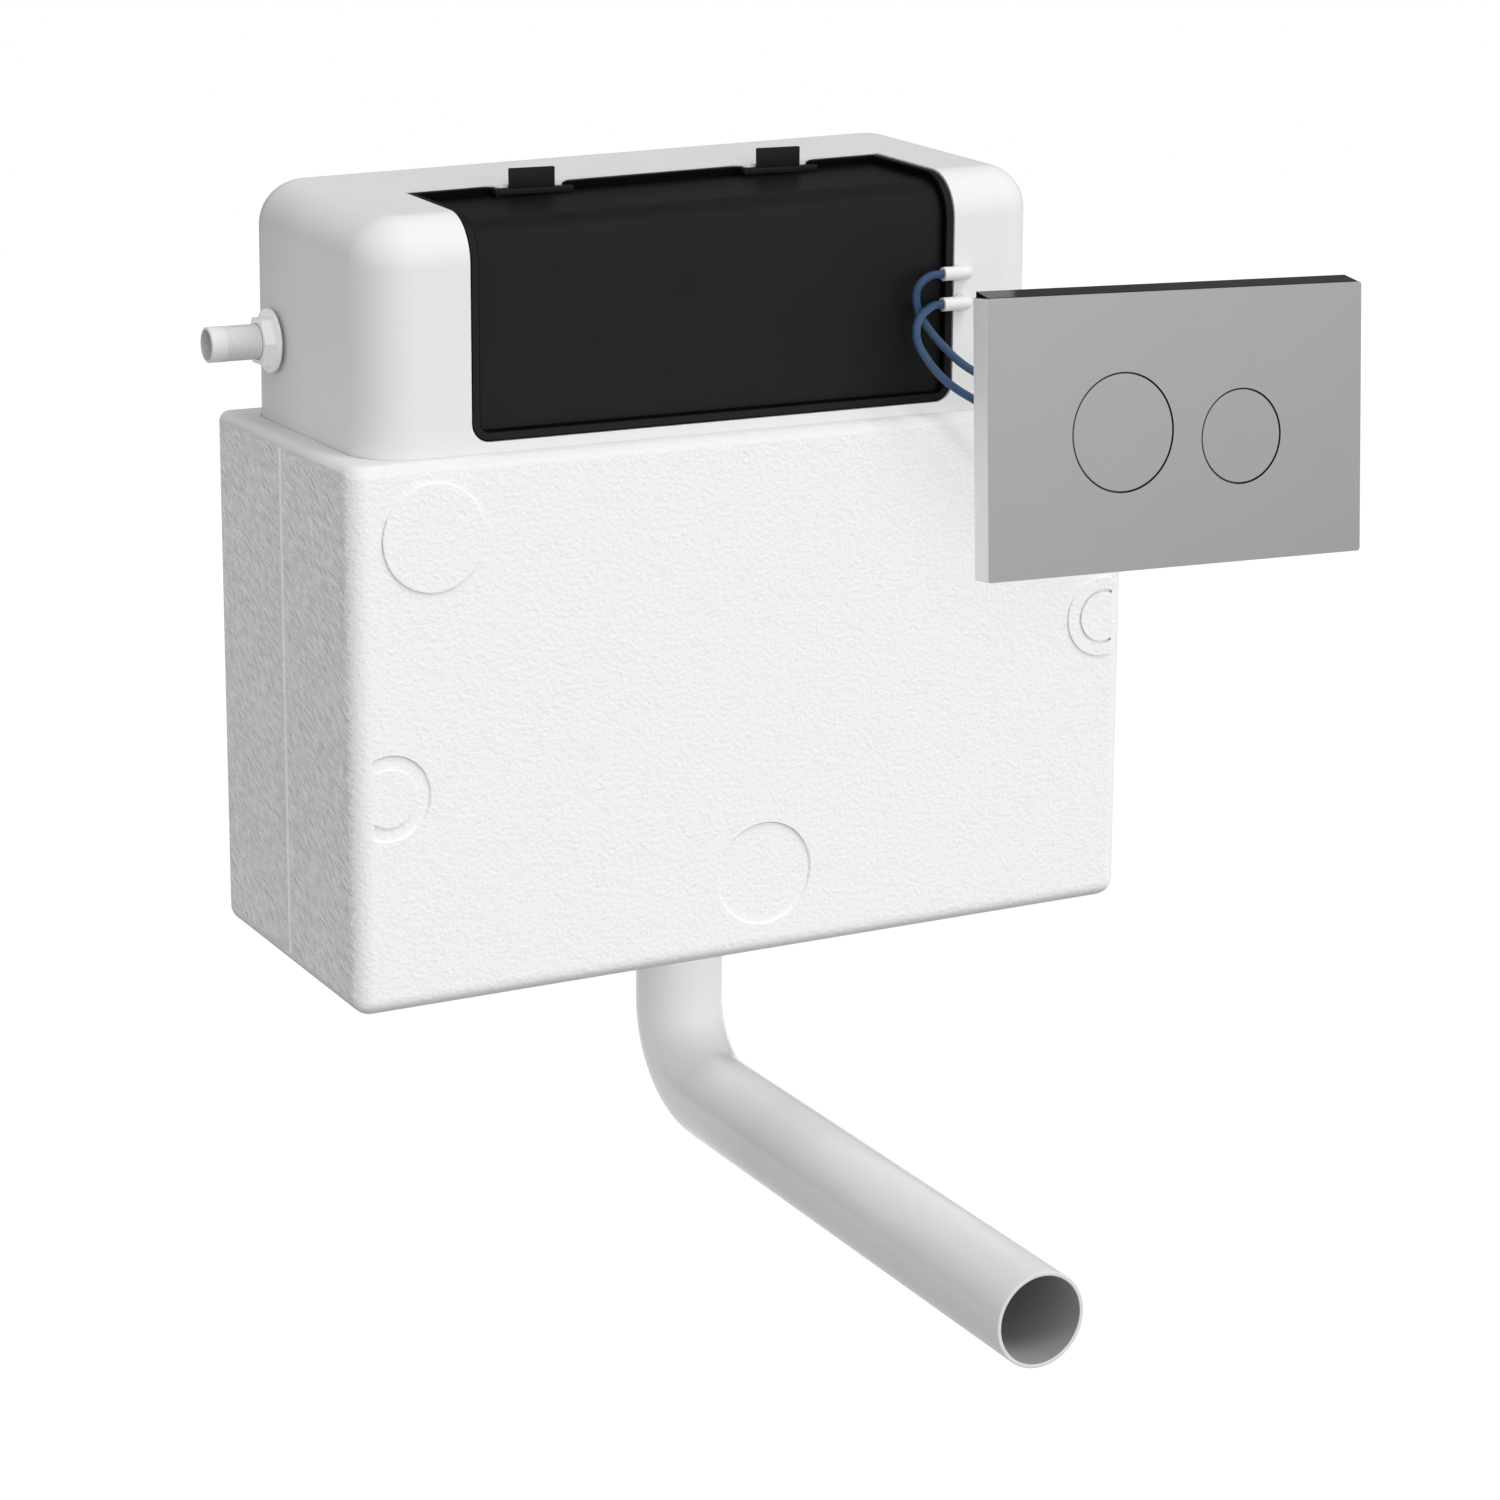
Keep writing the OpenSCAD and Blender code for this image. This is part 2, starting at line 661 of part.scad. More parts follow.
module tank() {
    color("white") hung() difference() {
        union() {
            difference() {
                tank_form(0);
                tank_form(tank_wall);
            }
            difference() {
                intersection() {
                    tank_form(0);
                    mouth(-tank_wall);
                }
                tank_form(frame_depth);
            }
            for (s = [-1, 1]) rod_y(s * fix_spacing / 2, fix_z, fix_boss_d / 2, tank_back - 1, 0);
        }
        difference() {
            mouth(0);
            tank_form(pocket_depth);
            tongues(0);
        }
        difference() {
            mouth(ledge_w);
            tongues(ledge_w);
        }
        for (s = [-1, 1]) rod_y(s * fix_spacing / 2, fix_z, fix_hole_d / 2, tank_back - 2 * tank_wall, 1);
        inlet_bar(-tank_half - 1, 2 * tank_wall, inlet_d / 2 + inlet_gap);
        valve_bar(foam_floor - 1, inner_floor + 1, tail_r + tail_gap);
        for (z = [elbow_z, elbow_z - elbow_spacing])
            rod_y(mouth_right + elbow_x, z, elbow_r, tank_front - 1, tank_front + frame_depth + 1);
    }
}

module access_cover() {
    color("#222222") hung() difference() {
        intersection() {
            difference() {
                tank_form(lip_drop);
                tank_form(pocket_depth - ledge_gap);
            }
            mouth(cover_gap);
        }
        tongues(cover_gap);
        difference() {
            mouth(cover_gap + lip_w);
            tank_form(cover_top);
        }
    }
}

// One latch: a foot bar on the cover and an upright finger tab
module latch(x) {
    y1 = notch_front - cover_gap - latch_gap;
    z0 = top_at(y1) - cover_top + latch_lift;
    block([x - foot_w / 2, y1 - foot_d, z0], [x + foot_w / 2, y1, z0 + foot_t]);
    block([x - tab_w / 2, y1 - tab_t, z0 + foot_t], [x + tab_w / 2, y1, z0 + foot_t + tab_h]);
}

module latch_left() {
    color("#1c1c1c") hung() latch(latch_x[0]);
}

module latch_right() {
    color("#1c1c1c") hung() latch(latch_x[1]);
}

// Inlet tail along X: ridged thread, plain nose and bore, drawn as one turned outline
module inlet_tail(x_end) {
    tip = -tank_half - inlet_len;
    thread_start = tip + nose_len;
    ridges = floor((-tank_half + 3 - thread_start) / thread_pitch);
    r = inlet_d / 2;
    outline = concat([[tip, inlet_bore / 2], [tip, r - 0.6], [tip + 0.6, r], [thread_start, r]],
        [for (i = [0:ridges - 1]) for (k = [0, 1])
            [thread_start + (i + k / 2 + 0.25) * thread_pitch, k == 0 ? r - thread_depth : r]],
        [[x_end, r], [x_end, inlet_bore / 2]]);
    translate([0, -inlet_y, inlet_z]) rotate([0, 90, 0]) rotate_extrude()
        polygon([for (p = outline) [p[1], p[0]]]);
}

// Bar along X on the inlet's axis, which starts at x
module inlet_bar(x, l, r) {
    translate([x, -inlet_y, inlet_z]) rotate([0, 90, 0]) cylinder(h = l, r = r);
}

// Upright bar on the fill valve's axis between two heights
module fill_bar(z0, z1, r) {
    translate([fill_axis, -inlet_y, z0]) cylinder(h = z1 - z0, r = r);
}

module fill_valve_body() {
    low = inlet_z - fill_below;
    wall_x = -tank_half + tank_wall;
    guide_z = inlet_z - guide_low;
    color("white") hung() difference() {
        union() {
            inlet_tail(wall_x + 2 * inlet_collar_t);
            inlet_bar(wall_x + inlet_seal_t, inlet_collar_t, inlet_collar_r);
            inlet_bar(wall_x + inlet_seal_t + 2, fill_axis - fill_r - wall_x, arm_r);
            difference() {
                fill_bar(low, fill_seat_z, fill_r);
                fill_bar(low + 3, fill_seat_z + 1, fill_r - fill_wall);
                fill_bar(low - 1, low + 4, drop_r - 2);
            }
            inlet_bar(fill_axis - fill_r, fill_r, spout_r);
            fill_bar(inlet_z - spout_r, fill_seat_z - 1, stem_tube_r);
            difference() {
                block([fill_axis + fill_r - fill_wall / 2, -inlet_y - guide_half, guide_z],
                    [fill_axis + push_x + 5, -inlet_y + guide_half, guide_z + guide_t]);
                translate([fill_axis + push_x, -inlet_y, guide_z - 1])
                    cylinder(h = guide_t + 2, r = push_r + slide_gap);
            }
        }
        inlet_bar(-tank_half - inlet_len - 1, inlet_len + tank_wall + 3, inlet_bore / 2);
        inlet_bar(-tank_half, fill_x, arm_bore);
        fill_bar(inlet_z, fill_seat_z + 1, stem_bore);
    }
}

module inlet_seal() {
    color("dimgray") hung() translate([-tank_half + tank_wall, -inlet_y, inlet_z]) rotate([0, 90, 0]) difference() {
        cylinder(h = inlet_seal_t, r = inlet_collar_r - 0.4);
        translate([0, 0, -1]) cylinder(h = inlet_seal_t + 2, r = inlet_d / 2 + inlet_gap);
    }
}

module inlet_nut() {
    color("white") hung() translate([-tank_half, -inlet_y, inlet_z]) rotate([0, -90, 0]) difference() {
        union() {
            cylinder(h = inlet_flange_t, d = inlet_flange_d);
            rotate([0, 0, 30]) cylinder(h = inlet_flange_t + inlet_nut_t, d = inlet_nut_af / cos(30), $fn = 6);
        }
        translate([0, 0, -1]) cylinder(h = inlet_flange_t + inlet_nut_t + 2, r = inlet_d / 2 + inlet_nut_gap);
    }
}

module fill_diaphragm() {
    color("dimgray") hung() fill_bar(fill_seat_z, fill_seat_z + diaphragm_t, fill_r);
}

module fill_valve_cap() {
    top = fill_seat_z + fill_cap_h;
    color("steelblue") hung() difference() {
        union() {
            fill_bar(fill_seat_z - cap_skirt, top, fill_cap_r);
            for (s = [-1, 1]) translate([fill_axis - fill_pivot_x, -inlet_y + s * fill_lug_y, 0])
                block([-4, -fill_lug_t / 2, top - 1], [4, fill_lug_t / 2, fill_pivot_z + 4]);
        }
        fill_bar(fill_seat_z - cap_skirt - 1, fill_seat_z + diaphragm_t + nut_gap, fill_r + 0.3);
        fill_bar(fill_seat_z, top + 1, vent_r);
        rod_y(fill_axis - fill_pivot_x, fill_pivot_z, pivot_r + pin_gap / 2, -inlet_y - fill_r, -inlet_y + fill_r);
    }
}

module fill_lever() {
    x = fill_axis - fill_pivot_x;
    color("white") hung() difference() {
        union() {
            rod_y(x, fill_pivot_z, pivot_r + 2, -inlet_y - fill_lever_half, -inlet_y + fill_lever_half);
            block([x, -inlet_y - fill_lever_half, fill_pivot_z - fill_lever_t / 2],
                [fill_axis + push_x + 4, -inlet_y + fill_lever_half, fill_pivot_z + fill_lever_t / 2]);
        }
        rod_y(x, fill_pivot_z, pivot_r + pin_gap, -inlet_y - fill_r, -inlet_y + fill_r);
    }
}

module fill_lever_pin() {
    reach = fill_lug_y + fill_lug_t / 2 + 1.4;
    color("silver") hung()
        rod_y(fill_axis - fill_pivot_x, fill_pivot_z, pivot_r, -inlet_y - reach, -inlet_y + reach);
}

module fill_float() {
    color("white") hung() translate([fill_axis, -inlet_y, float_z]) difference() {
        cylinder(h = float_h, r = float_r);
        translate([0, 0, -1]) cylinder(h = float_h + 2, r = drop_r + 1);
        difference() {
            translate([0, 0, -1]) cylinder(h = float_h - 1, r = float_r - 2);
            translate([0, 0, -2]) cylinder(h = float_h + 2, r = drop_r + 3);
        }
    }
}

module float_push_rod() {
    top = fill_pivot_z - fill_lever_t / 2 - 0.5;
    color("white") hung() translate([fill_axis + push_x, -inlet_y, float_z + float_h])
        cylinder(h = top - float_z - float_h, r = push_r);
}

module drop_tube() {
    top = inlet_z - fill_below;
    color("white") hung() difference() {
        union() {
            fill_bar(drop_end, top, drop_r);
            fill_bar(float_z - slide_gap - stop_t, float_z - slide_gap, drop_r + 4);
        }
        fill_bar(drop_end - 1, top + 1, drop_r - 2);
    }
}

module valve_base() {
    color("white") hung() {
        ring(outlet_r, tail_r, tail_end, flange_z + 1);
        ring(outlet_r, base_r, flange_z, flange_z + base_t);
        ring(outlet_r, outlet_r + seat_w, flange_z + 1, seat_z);
    }
}

module base_seal() {
    color("dimgray") hung() ring(tail_r + tail_gap, base_r - 1, inner_floor, flange_z);
}

module back_nut() {
    color("white") hung() difference() {
        ring(tail_r + nut_gap, base_r, foam_floor - back_nut_h, foam_floor);
        for (a = [0:30:330]) translate([0, valve_y, foam_floor - back_nut_h - 1]) rotate([0, 0, a])
            translate([base_r + 1.4, 0, 0]) cylinder(h = back_nut_h - 2, r = grip_r);
    }
}

module valve_cage() {
    color("white") hung() difference() {
        union() {
            ring(cage_r - cage_t, cage_r, cage_z, cage_z + cage_h);
            ring(sleeve_r + sleeve_gap, cage_r, cage_z + cage_h - cage_t, cage_z + cage_h);
        }
        for (i = [0:cage_windows - 1]) translate([0, valve_y, 0]) rotate([0, 0, 45 + i * 360 / cage_windows])
            block([cage_r - 8, -window_half, cage_z + 4], [cage_r + 8, window_half, cage_z + cage_h - 12]);
    }
}

module full_plunger() {
    color("lightgray") hung() difference() {
        union() {
            ring(plunger_hole, plunger_rim, plunger_z, plunger_z + plunger_disc);
            ring(plunger_hole, plunger_hole + plunger_t, plunger_z + 1, plunger_z + plunger_disc + inner_seat_h);
            ring(sleeve_r - plunger_t, sleeve_r, plunger_z + 1, sleeve_top);
            ring(overflow_r + tube_gap, sleeve_r - 1, sleeve_top - 4, sleeve_top);
            ring(full_ring_hole, sleeve_r - 1, full_ring_z, full_ring_z + full_ring_t);
            for (s = [-1, 1]) translate([0, valve_y + s * (sleeve_r - 1), 0])
                block([-4, -plunger_t / 2, sleeve_top - 4], [4, plunger_t / 2, full_ring_z + full_ring_t]);
        }
        for (a = [0, 90]) translate([0, valve_y, plunger_z + port_z]) rotate([0, 0, a])
            block([-port_half, -sleeve_r - 1, 0], [port_half, sleeve_r + 1, port_h]);
    }
}

module full_valve_seal() {
    color("dimgray") hung() ring(outlet_r - valve_seal_t - 0.6, plunger_rim, seat_z + seal_gap, plunger_z);
}

module overflow_tube() {
    color("white") hung() {
        ring(overflow_r - plunger_t, overflow_r, overflow_foot, overflow_z);
        ring(overflow_r - plunger_t, overflow_r + overflow_flange, overflow_foot, overflow_foot + 2);
        translate([0, valve_y, overflow_z - cross_low]) block([-overflow_r + 1, -2, 0], [overflow_r - 1, 2, 6]);
        valve_bar(overflow_z - cross_low + 2, half_ring_z + full_ring_t + 1, stem_r);
        valve_bar(half_ring_z, half_ring_z + half_ring_t, half_ring_r);
    }
}

module half_valve_seal() {
    color("dimgray") hung()
        ring(overflow_r - plunger_t - 0.2, overflow_r + overflow_flange, half_seal_z, overflow_foot);
}

// Foot of an actuator on the head, with the nipple that its air tube ends at
module actuator_base(x, h) {
    translate([x, valve_y, head_z + head_t - 0.5]) cylinder(h = h + 0.5, r = actuator_r);
    rod_y(x, nipple_z, nipple_r, nipple_y, valve_y);
}

// Pair of lugs that hold a lever's pin
module lugs(x, z) {
    for (s = [-1, 1]) translate([x, valve_y + s * lug_y, 0])
        block([-lug_half, -lug_t / 2, head_z + head_t - 0.5], [lug_half, lug_t / 2, z + lug_half]);
}

module actuator_head() {
    color("whitesmoke") hung() difference() {
        union() {
            translate([0, valve_y, 0])
                block([-pivot_x - 6, -head_d / 2, head_z], [pivot_x + 6, head_d / 2, head_z + head_t]);
            for (s = [-1, 1]) translate([s * (cage_r - 4), valve_y, 0])
                block([-post_half.x, -post_half.y, cage_z + cage_h], [post_half.x, post_half.y, head_z + 1]);
            actuator_base(actuator_x, actuator_foot);
            actuator_base(-actuator_x, half_foot);
            lugs(pivot_x, full_lever_z);
            lugs(-pivot_x, half_lever_z);
        }
        valve_bar(head_z - 1, head_z + head_t + 1, head_hole_r);
        rod_y(pivot_x, full_lever_z, pivot_r + pin_gap / 2, valve_y - 2 * lug_y, valve_y + 2 * lug_y);
        rod_y(-pivot_x, half_lever_z, pivot_r + pin_gap / 2, valve_y - 2 * lug_y, valve_y + 2 * lug_y);
        for (s = [-1, 1]) rod_y(s * actuator_x, nipple_z, nipple_bore, nipple_y - 1, valve_y);
        translate([actuator_x, valve_y, nipple_z]) cylinder(h = actuator_foot, r = nipple_bore);
        translate([-actuator_x, valve_y, nipple_z]) cylinder(h = half_foot, r = nipple_bore);
    }
}

// Forked lever from its pivot to the valve's axis; side is 1 for a pivot on the right
module forked_lever(side, z) {
    translate([0, valve_y, z]) mirror([side < 0 ? 1 : 0, 0, 0]) difference() {
        union() {
            rod_y(pivot_x, 0, pivot_r + 3, -lever_half, lever_half);
            block([fork_d - 1, -lever_half, -lever_t / 2], [pivot_x, lever_half, lever_t / 2]);
            block([0, -fork_half, -lever_t / 2], [fork_d, fork_half, lever_t / 2]);
        }
        rod_y(pivot_x, 0, pivot_r + pin_gap, -lever_half - 1, lever_half + 1);
        block([-1, -fork_gap, -lever_t], [fork_slot, fork_gap, lever_t]);
    }
}

module full_lever() {
    color("white") hung() forked_lever(1, full_lever_z);
}

module half_lever() {
    color("white") hung() forked_lever(-1, half_lever_z);
}

module lever_pins() {
    reach = lug_y + lug_t / 2 + 1.4;
    color("silver") hung() {
        rod_y(pivot_x, full_lever_z, pivot_r, valve_y - reach, valve_y + reach);
        rod_y(-pivot_x, half_lever_z, pivot_r, valve_y - reach, valve_y + reach);
    }
}

// Rubber bellows of three folds between its foot and its cap
module bellows(x, z0, z1) {
    folds = 3;
    fold_d = 3.5;
    step = (z1 - z0) / folds;
    r = actuator_r;
    translate([x, valve_y, z0]) rotate_extrude() polygon(concat([[0, 0]],
        [for (i = [0:folds - 1]) each [[r - fold_d, i * step], [r, (i + 0.5) * step]]],
        [[r - fold_d, z1 - z0], [0, z1 - z0]]));
}

module bellows_cap(x, top) {
    translate([x, valve_y, top - nub_h - cap_t]) cylinder(h = cap_t, r = actuator_r - 1);
    translate([x, valve_y, top - nub_h - 1]) cylinder(h = nub_h + 1, r = nub_r);
}

module full_bellows() {
    color("dimgray") hung() bellows(actuator_x, head_z + head_t + actuator_foot, full_nub_z - nub_h - cap_t);
}

module half_bellows() {
    color("dimgray") hung() bellows(-actuator_x, head_z + head_t + half_foot, half_nub_z - nub_h - cap_t);
}

module full_bellows_cap() {
    color("white") hung() bellows_cap(actuator_x, full_nub_z);
}

module half_bellows_cap() {
    color("white") hung() bellows_cap(-actuator_x, half_nub_z);
}

// Solid bar along the flush pipe's route; over lengthens both ends
module pipe_bar(r, over) {
    bend_z = pipe_bend_r - pipe_drop;
    translate([0, valve_y, bend_z]) cylinder(h = tail_end + pipe_insert - bend_z + over, r = r);
    translate([0, valve_y - pipe_bend_r, bend_z]) rotate([-90, 0, 90]) rotate_extrude(angle = 90)
        translate([pipe_bend_r, 0]) circle(r = r);
    rod_y(0, -pipe_drop, r, -pipe_reach - over, valve_y - pipe_bend_r);
}

module flush_pipe() {
    color("white") hung() difference() {
        pipe_bar(pipe_d / 2, 0);
        pipe_bar(pipe_d / 2 - pipe_t, 1);
    }
}

module pipe_seal() {
    color("dimgray") hung() ring(pipe_d / 2 + 0.1, tail_r - 0.5, tail_end - pipe_seal_t, tail_end);
}

module pipe_nut() {
    low = tail_end + pipe_nut_grip - pipe_nut_h;
    color("white") hung() {
        ring(tail_r + nut_gap, tail_r + pipe_nut_t, low + 1, low + pipe_nut_h);
        ring(pipe_d / 2 + 2 * nut_gap, tail_r + pipe_nut_t, low, tail_end - pipe_seal_t);
    }
}

// Elbow through the tank's front wall, with its arm towards the left
module elbow(z) {
    x = mouth_right + elbow_x;
    y = tank_front - elbow_out;
    difference() {
        union() {
            translate([elbow_tip, y, z]) rotate([0, 90, 0]) cylinder(h = elbow_arm, r = elbow_r);
            translate([x, y, z]) sphere(r = elbow_r);
            rod_y(x, z, elbow_r - 0.1, y, tank_front + frame_depth + 2);
            rod_y(x, z, elbow_r + 1.2, tank_front - 1, tank_front);
            rod_y(x, z, nipple_r, tank_front + frame_depth, INNER_FULL[0][1]);
        }
        translate([elbow_tip - 1, y, z]) rotate([0, 90, 0]) cylinder(h = elbow_arm + 1, r = nipple_bore);
        rod_y(x, z, nipple_bore, y, INNER_FULL[0][1] + 1);
    }
}

module elbow_full() {
    color("white") hung() elbow(elbow_z);
}

module elbow_half() {
    color("white") hung() elbow(elbow_z - elbow_spacing);
}

module tube_full() {
    color("#3a5478") hung() swept(TUBE_FULL, tube_d, [0, 1, 0]);
}

module tube_half() {
    color("#3a5478") hung() swept(TUBE_HALF, tube_d, [0, 1, 0]);
}

module inner_tube_full() {
    color("#3a5478") hung() swept(INNER_FULL, tube_d, [0, 0, 1]);
}

module inner_tube_half() {
    color("#3a5478") hung() swept(INNER_HALF, tube_d, [0, 0, 1]);
}

// Puts a piece drawn round the plate's middle in place, turned about the middle of the plate's face
module at_plate() {
    translate([plate_mid, plate_y, plate_z]) rotate([-plate_lean, plate_roll, 0])
        translate([0, -plate_y, 0]) children();
}

module plate_face() {
    w = plate_w / 2;
    h = plate_h / 2;
    t = plate_wall;
    color("silver") hung() at_plate() difference() {
        union() {
            difference() {
                prism_y(rounded(-w, w, -h, h, plate_corner_r), plate_y, plate_back);
                prism_y(rounded(-w + t, w - t, -h + t, h - t, 1), plate_y + t, plate_back + 1);
            }
            for (x = [-1, 1]) for (z = [-1, 1])
                rod_y(x * (w - boss_inset), z * (h - boss_inset), boss_r, plate_y + t - 0.5, plate_back);
        }
        for (x = [-1, 1]) for (z = [-1, 1])
            rod_y(x * (w - boss_inset), z * (h - boss_inset), screw_d / 2, plate_y + t + 1, plate_back + 1);
        rod_y(full_x, 0, full_button_d / 2 + button_gap, plate_y - 1, plate_y + t + 1);
        rod_y(half_x, -half_button_drop, half_button_d / 2 + button_gap, plate_y - 1, plate_y + t + 1);
    }
}

// Air pump behind the plate, a cup that is open to the front
module pump(x, z, r) {
    difference() {
        rod_y(x, z, r, plate_back, pump_front + housing_d);
        rod_y(x, z, r - housing_t, plate_back - 1, pump_front + housing_d - housing_t);
    }
}

// Places of the frame's four screws
module at_screws() {
    for (x = [-1, 1]) for (z = [-1, 1])
        translate([x * (plate_w / 2 - boss_inset), 0, z * (plate_h / 2 - boss_inset)]) children();
}

// Nipple on the left of an air pump of radius r, and its hole when grow is over 0
module nipple(x, z, r, up, grow = 0) {
    l = r + nipple_out - sqrt(pow(r - housing_t, 2) - up * up) + housing_t / 2;
    translate([x - r - nipple_out - grow, pump_front + nipple_behind, z + up])
        rotate([0, 90, 0]) cylinder(h = l + 2 * grow, r = grow > 0 ? nipple_bore : nipple_r);
}

module plate_frame() {
    w = plate_w / 2 - frame_inset;
    h = plate_h / 2 - frame_inset;
    color("gray") hung() at_plate() difference() {
        union() {
            difference() {
                prism_y(rounded(-w, w, -h, h, 3), plate_back, pump_front);
                rod_y(full_x, 0, full_pump_r - pump_lap, plate_back - 1, pump_front + 1);
                rod_y(half_x, -half_button_drop, half_pump_r - pump_lap, plate_back - 1, pump_front + 1);
                at_screws() {
                    rod_y(0, 0, screw_d / 2 + frame_hole_gap, plate_back - 1, pump_front + 1);
                    rod_y(0, 0, screw_d + frame_hole_gap, screw_seat, pump_front + 1);
                }
            }
            pump(full_x, 0, full_pump_r);
            pump(half_x, -half_button_drop, half_pump_r);
            nipple(full_x, 0, full_pump_r, full_nipple_up);
            nipple(half_x, -half_button_drop, half_pump_r, half_nipple_up);
        }
        nipple(full_x, 0, full_pump_r, full_nipple_up, 1);
        nipple(half_x, -half_button_drop, half_pump_r, half_nipple_up, 1);
    }
}

// Button disc with a rim behind the plate's face and a stem to its pump
module button(x, z, d) {
    rod_y(x, z, d / 2, plate_y, plate_y + button_t);
    rod_y(x, z, d / 2 + button_rim, plate_y + plate_wall + ledge_gap, plate_y + button_t);
    rod_y(x, z, button_stem_r, plate_y + button_t - 1, plate_back + 1);
}

module full_button() {
    color("silver") hung() at_plate() button(full_x, 0, full_button_d);
}

module half_button() {
    color("silver") hung() at_plate() button(half_x, -half_button_drop, half_button_d);
}

// Cup-shaped piston of an air pump
module piston(x, z, r) {
    difference() {
        rod_y(x, z, r, plate_back + 1, plate_back + 1 + piston_t);
        rod_y(x, z, r - piston_wall, plate_back + 1 + piston_wall, plate_back + 2 + piston_t);
    }
}

module full_pump_piston() {
    color("dimgray") hung() at_plate() piston(full_x, 0, full_pump_r - housing_t - slide_gap);
}

module half_pump_piston() {
    color("dimgray") hung() at_plate() piston(half_x, -half_button_drop, half_pump_r - housing_t - slide_gap);
}

module frame_screws() {
    color("silver") hung() at_plate() at_screws() difference() {
        union() {
            rod_y(0, 0, screw_d / 2 - screw_gap, plate_y + plate_wall + 2, screw_seat + 0.5);
            rod_y(0, 0, screw_d, screw_seat, screw_seat + screw_head_t);
        }
        block([-slot_w / 2, screw_seat + screw_head_t - slot_d, -screw_d - 1],
            [slot_w / 2, screw_seat + screw_head_t + 1, screw_d + 1]);
    }
}

jacket_front();
jacket_back();
tank();
access_cover();
latch_left();
latch_right();
fill_valve_body();
inlet_seal();
inlet_nut();
fill_diaphragm();
fill_valve_cap();
fill_lever();
fill_lever_pin();
fill_float();
float_push_rod();
drop_tube();
valve_base();
base_seal();
back_nut();
valve_cage();
full_plunger();
full_valve_seal();
overflow_tube();
half_valve_seal();
actuator_head();
full_lever();
half_lever();
lever_pins();
full_bellows();
half_bellows();
full_bellows_cap();
half_bellows_cap();
flush_pipe();
pipe_seal();
pipe_nut();
elbow_full();
elbow_half();
tube_full();
tube_half();
inner_tube_full();
inner_tube_half();
plate_face();
plate_frame();
full_button();
half_button();
full_pump_piston();
half_pump_piston();
frame_screws();
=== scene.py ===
import math

import bmesh
import bpy
from mathutils import Matrix, Vector


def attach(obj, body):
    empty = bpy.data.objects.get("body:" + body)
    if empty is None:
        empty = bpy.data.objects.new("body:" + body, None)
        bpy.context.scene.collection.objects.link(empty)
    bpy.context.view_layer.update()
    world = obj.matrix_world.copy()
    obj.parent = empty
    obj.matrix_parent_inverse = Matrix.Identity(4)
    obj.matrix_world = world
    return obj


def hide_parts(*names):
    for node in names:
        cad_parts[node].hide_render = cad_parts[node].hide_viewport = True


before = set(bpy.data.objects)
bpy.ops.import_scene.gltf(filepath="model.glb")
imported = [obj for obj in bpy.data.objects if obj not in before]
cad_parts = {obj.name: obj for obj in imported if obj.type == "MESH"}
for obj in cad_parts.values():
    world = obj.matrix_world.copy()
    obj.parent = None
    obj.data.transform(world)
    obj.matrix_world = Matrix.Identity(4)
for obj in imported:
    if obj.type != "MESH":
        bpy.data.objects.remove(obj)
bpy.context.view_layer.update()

# The photograph's view: a long lens a little above the cistern and to its left,
# with the picture shifted so that the uprights stay nearly upright.
FIX_Z = 345.0
EYE = (-799.35, -1642.07, 564.27)


def at(x, y, z):
    """A place in millimetres, with its height from the jacket's underside; the origin is FIX_Z above that."""
    return Vector((x, y, z - FIX_Z)) / 1000


camera = bpy.data.objects.new("photo_camera", bpy.data.cameras.new("photo_camera"))
bpy.context.scene.collection.objects.link(camera)
camera.data.lens = 88.6
camera.data.sensor_width = 36.0
camera.data.shift_y = -0.15
camera.data.clip_start = 0.05
look_right = Vector((0.88160, -0.47198, 0.00550)).normalized()
look_up = Vector((0.09270, 0.18450, 0.97840))
look_back = look_right.cross(look_up).normalized()
look_up = look_back.cross(look_right).normalized()
turn = Matrix((look_right, look_up, look_back)).transposed().to_4x4()
camera.matrix_world = Matrix.Translation(at(*EYE)) @ turn
bpy.context.scene.camera = camera


# The two blue air tubes: limp 4 mm plastic tube, pushed over the ends of the white
# elbows and of the pump nipples. They carry a puff of air from the buttons to the valve.
class Value:
    """A shader's value, which sums and products can be written with."""

    def __init__(self, link):
        self.link = link

    def _join(self, operation, *items):
        tree = self.link.id_data
        node = tree.nodes.new("ShaderNodeMath")
        node.operation = operation
        for socket, item in zip(node.inputs, items):
            if isinstance(item, Value):
                tree.links.new(item.link, socket)
            else:
                socket.default_value = item
        return Value(node.outputs[0])

    def __add__(self, other):
        return self._join("ADD", self, other)

    __radd__ = __add__

    def __sub__(self, other):
        return self._join("SUBTRACT", self, other)

    def __rsub__(self, other):
        return self._join("SUBTRACT", other, self)

    def __mul__(self, other):
        return self._join("MULTIPLY", self, other)

    __rmul__ = __mul__

    def __abs__(self):
        return self._join("ABSOLUTE", self)

    def above(self, edge, blur):
        """0 below the edge and 1 above it, with a soft step of the given width."""
        step = (self - edge) * (1 / blur) + 0.5
        return step._join("MAXIMUM", step._join("MINIMUM", step, 1.0), 0.0)


class Nodes:
    """Makes the nodes of one tree."""

    def __init__(self, tree):
        self.tree = tree

    def node(self, kind, settings=None, output=0, **inputs):
        """Any node: its settings first, then its sockets' values or links, by name or as _number."""
        node = self.tree.nodes.new("ShaderNode" + kind)
        for name, value in (settings or {}).items():
            setattr(node, name, value)
        for name, value in inputs.items():
            socket = node.inputs[int(name[1:]) if name[0] == "_" else name.replace("_", " ")]
            if isinstance(value, Value):
                self.tree.links.new(value.link, socket)
            else:
                socket.default_value = value
        return Value(node.outputs[output])


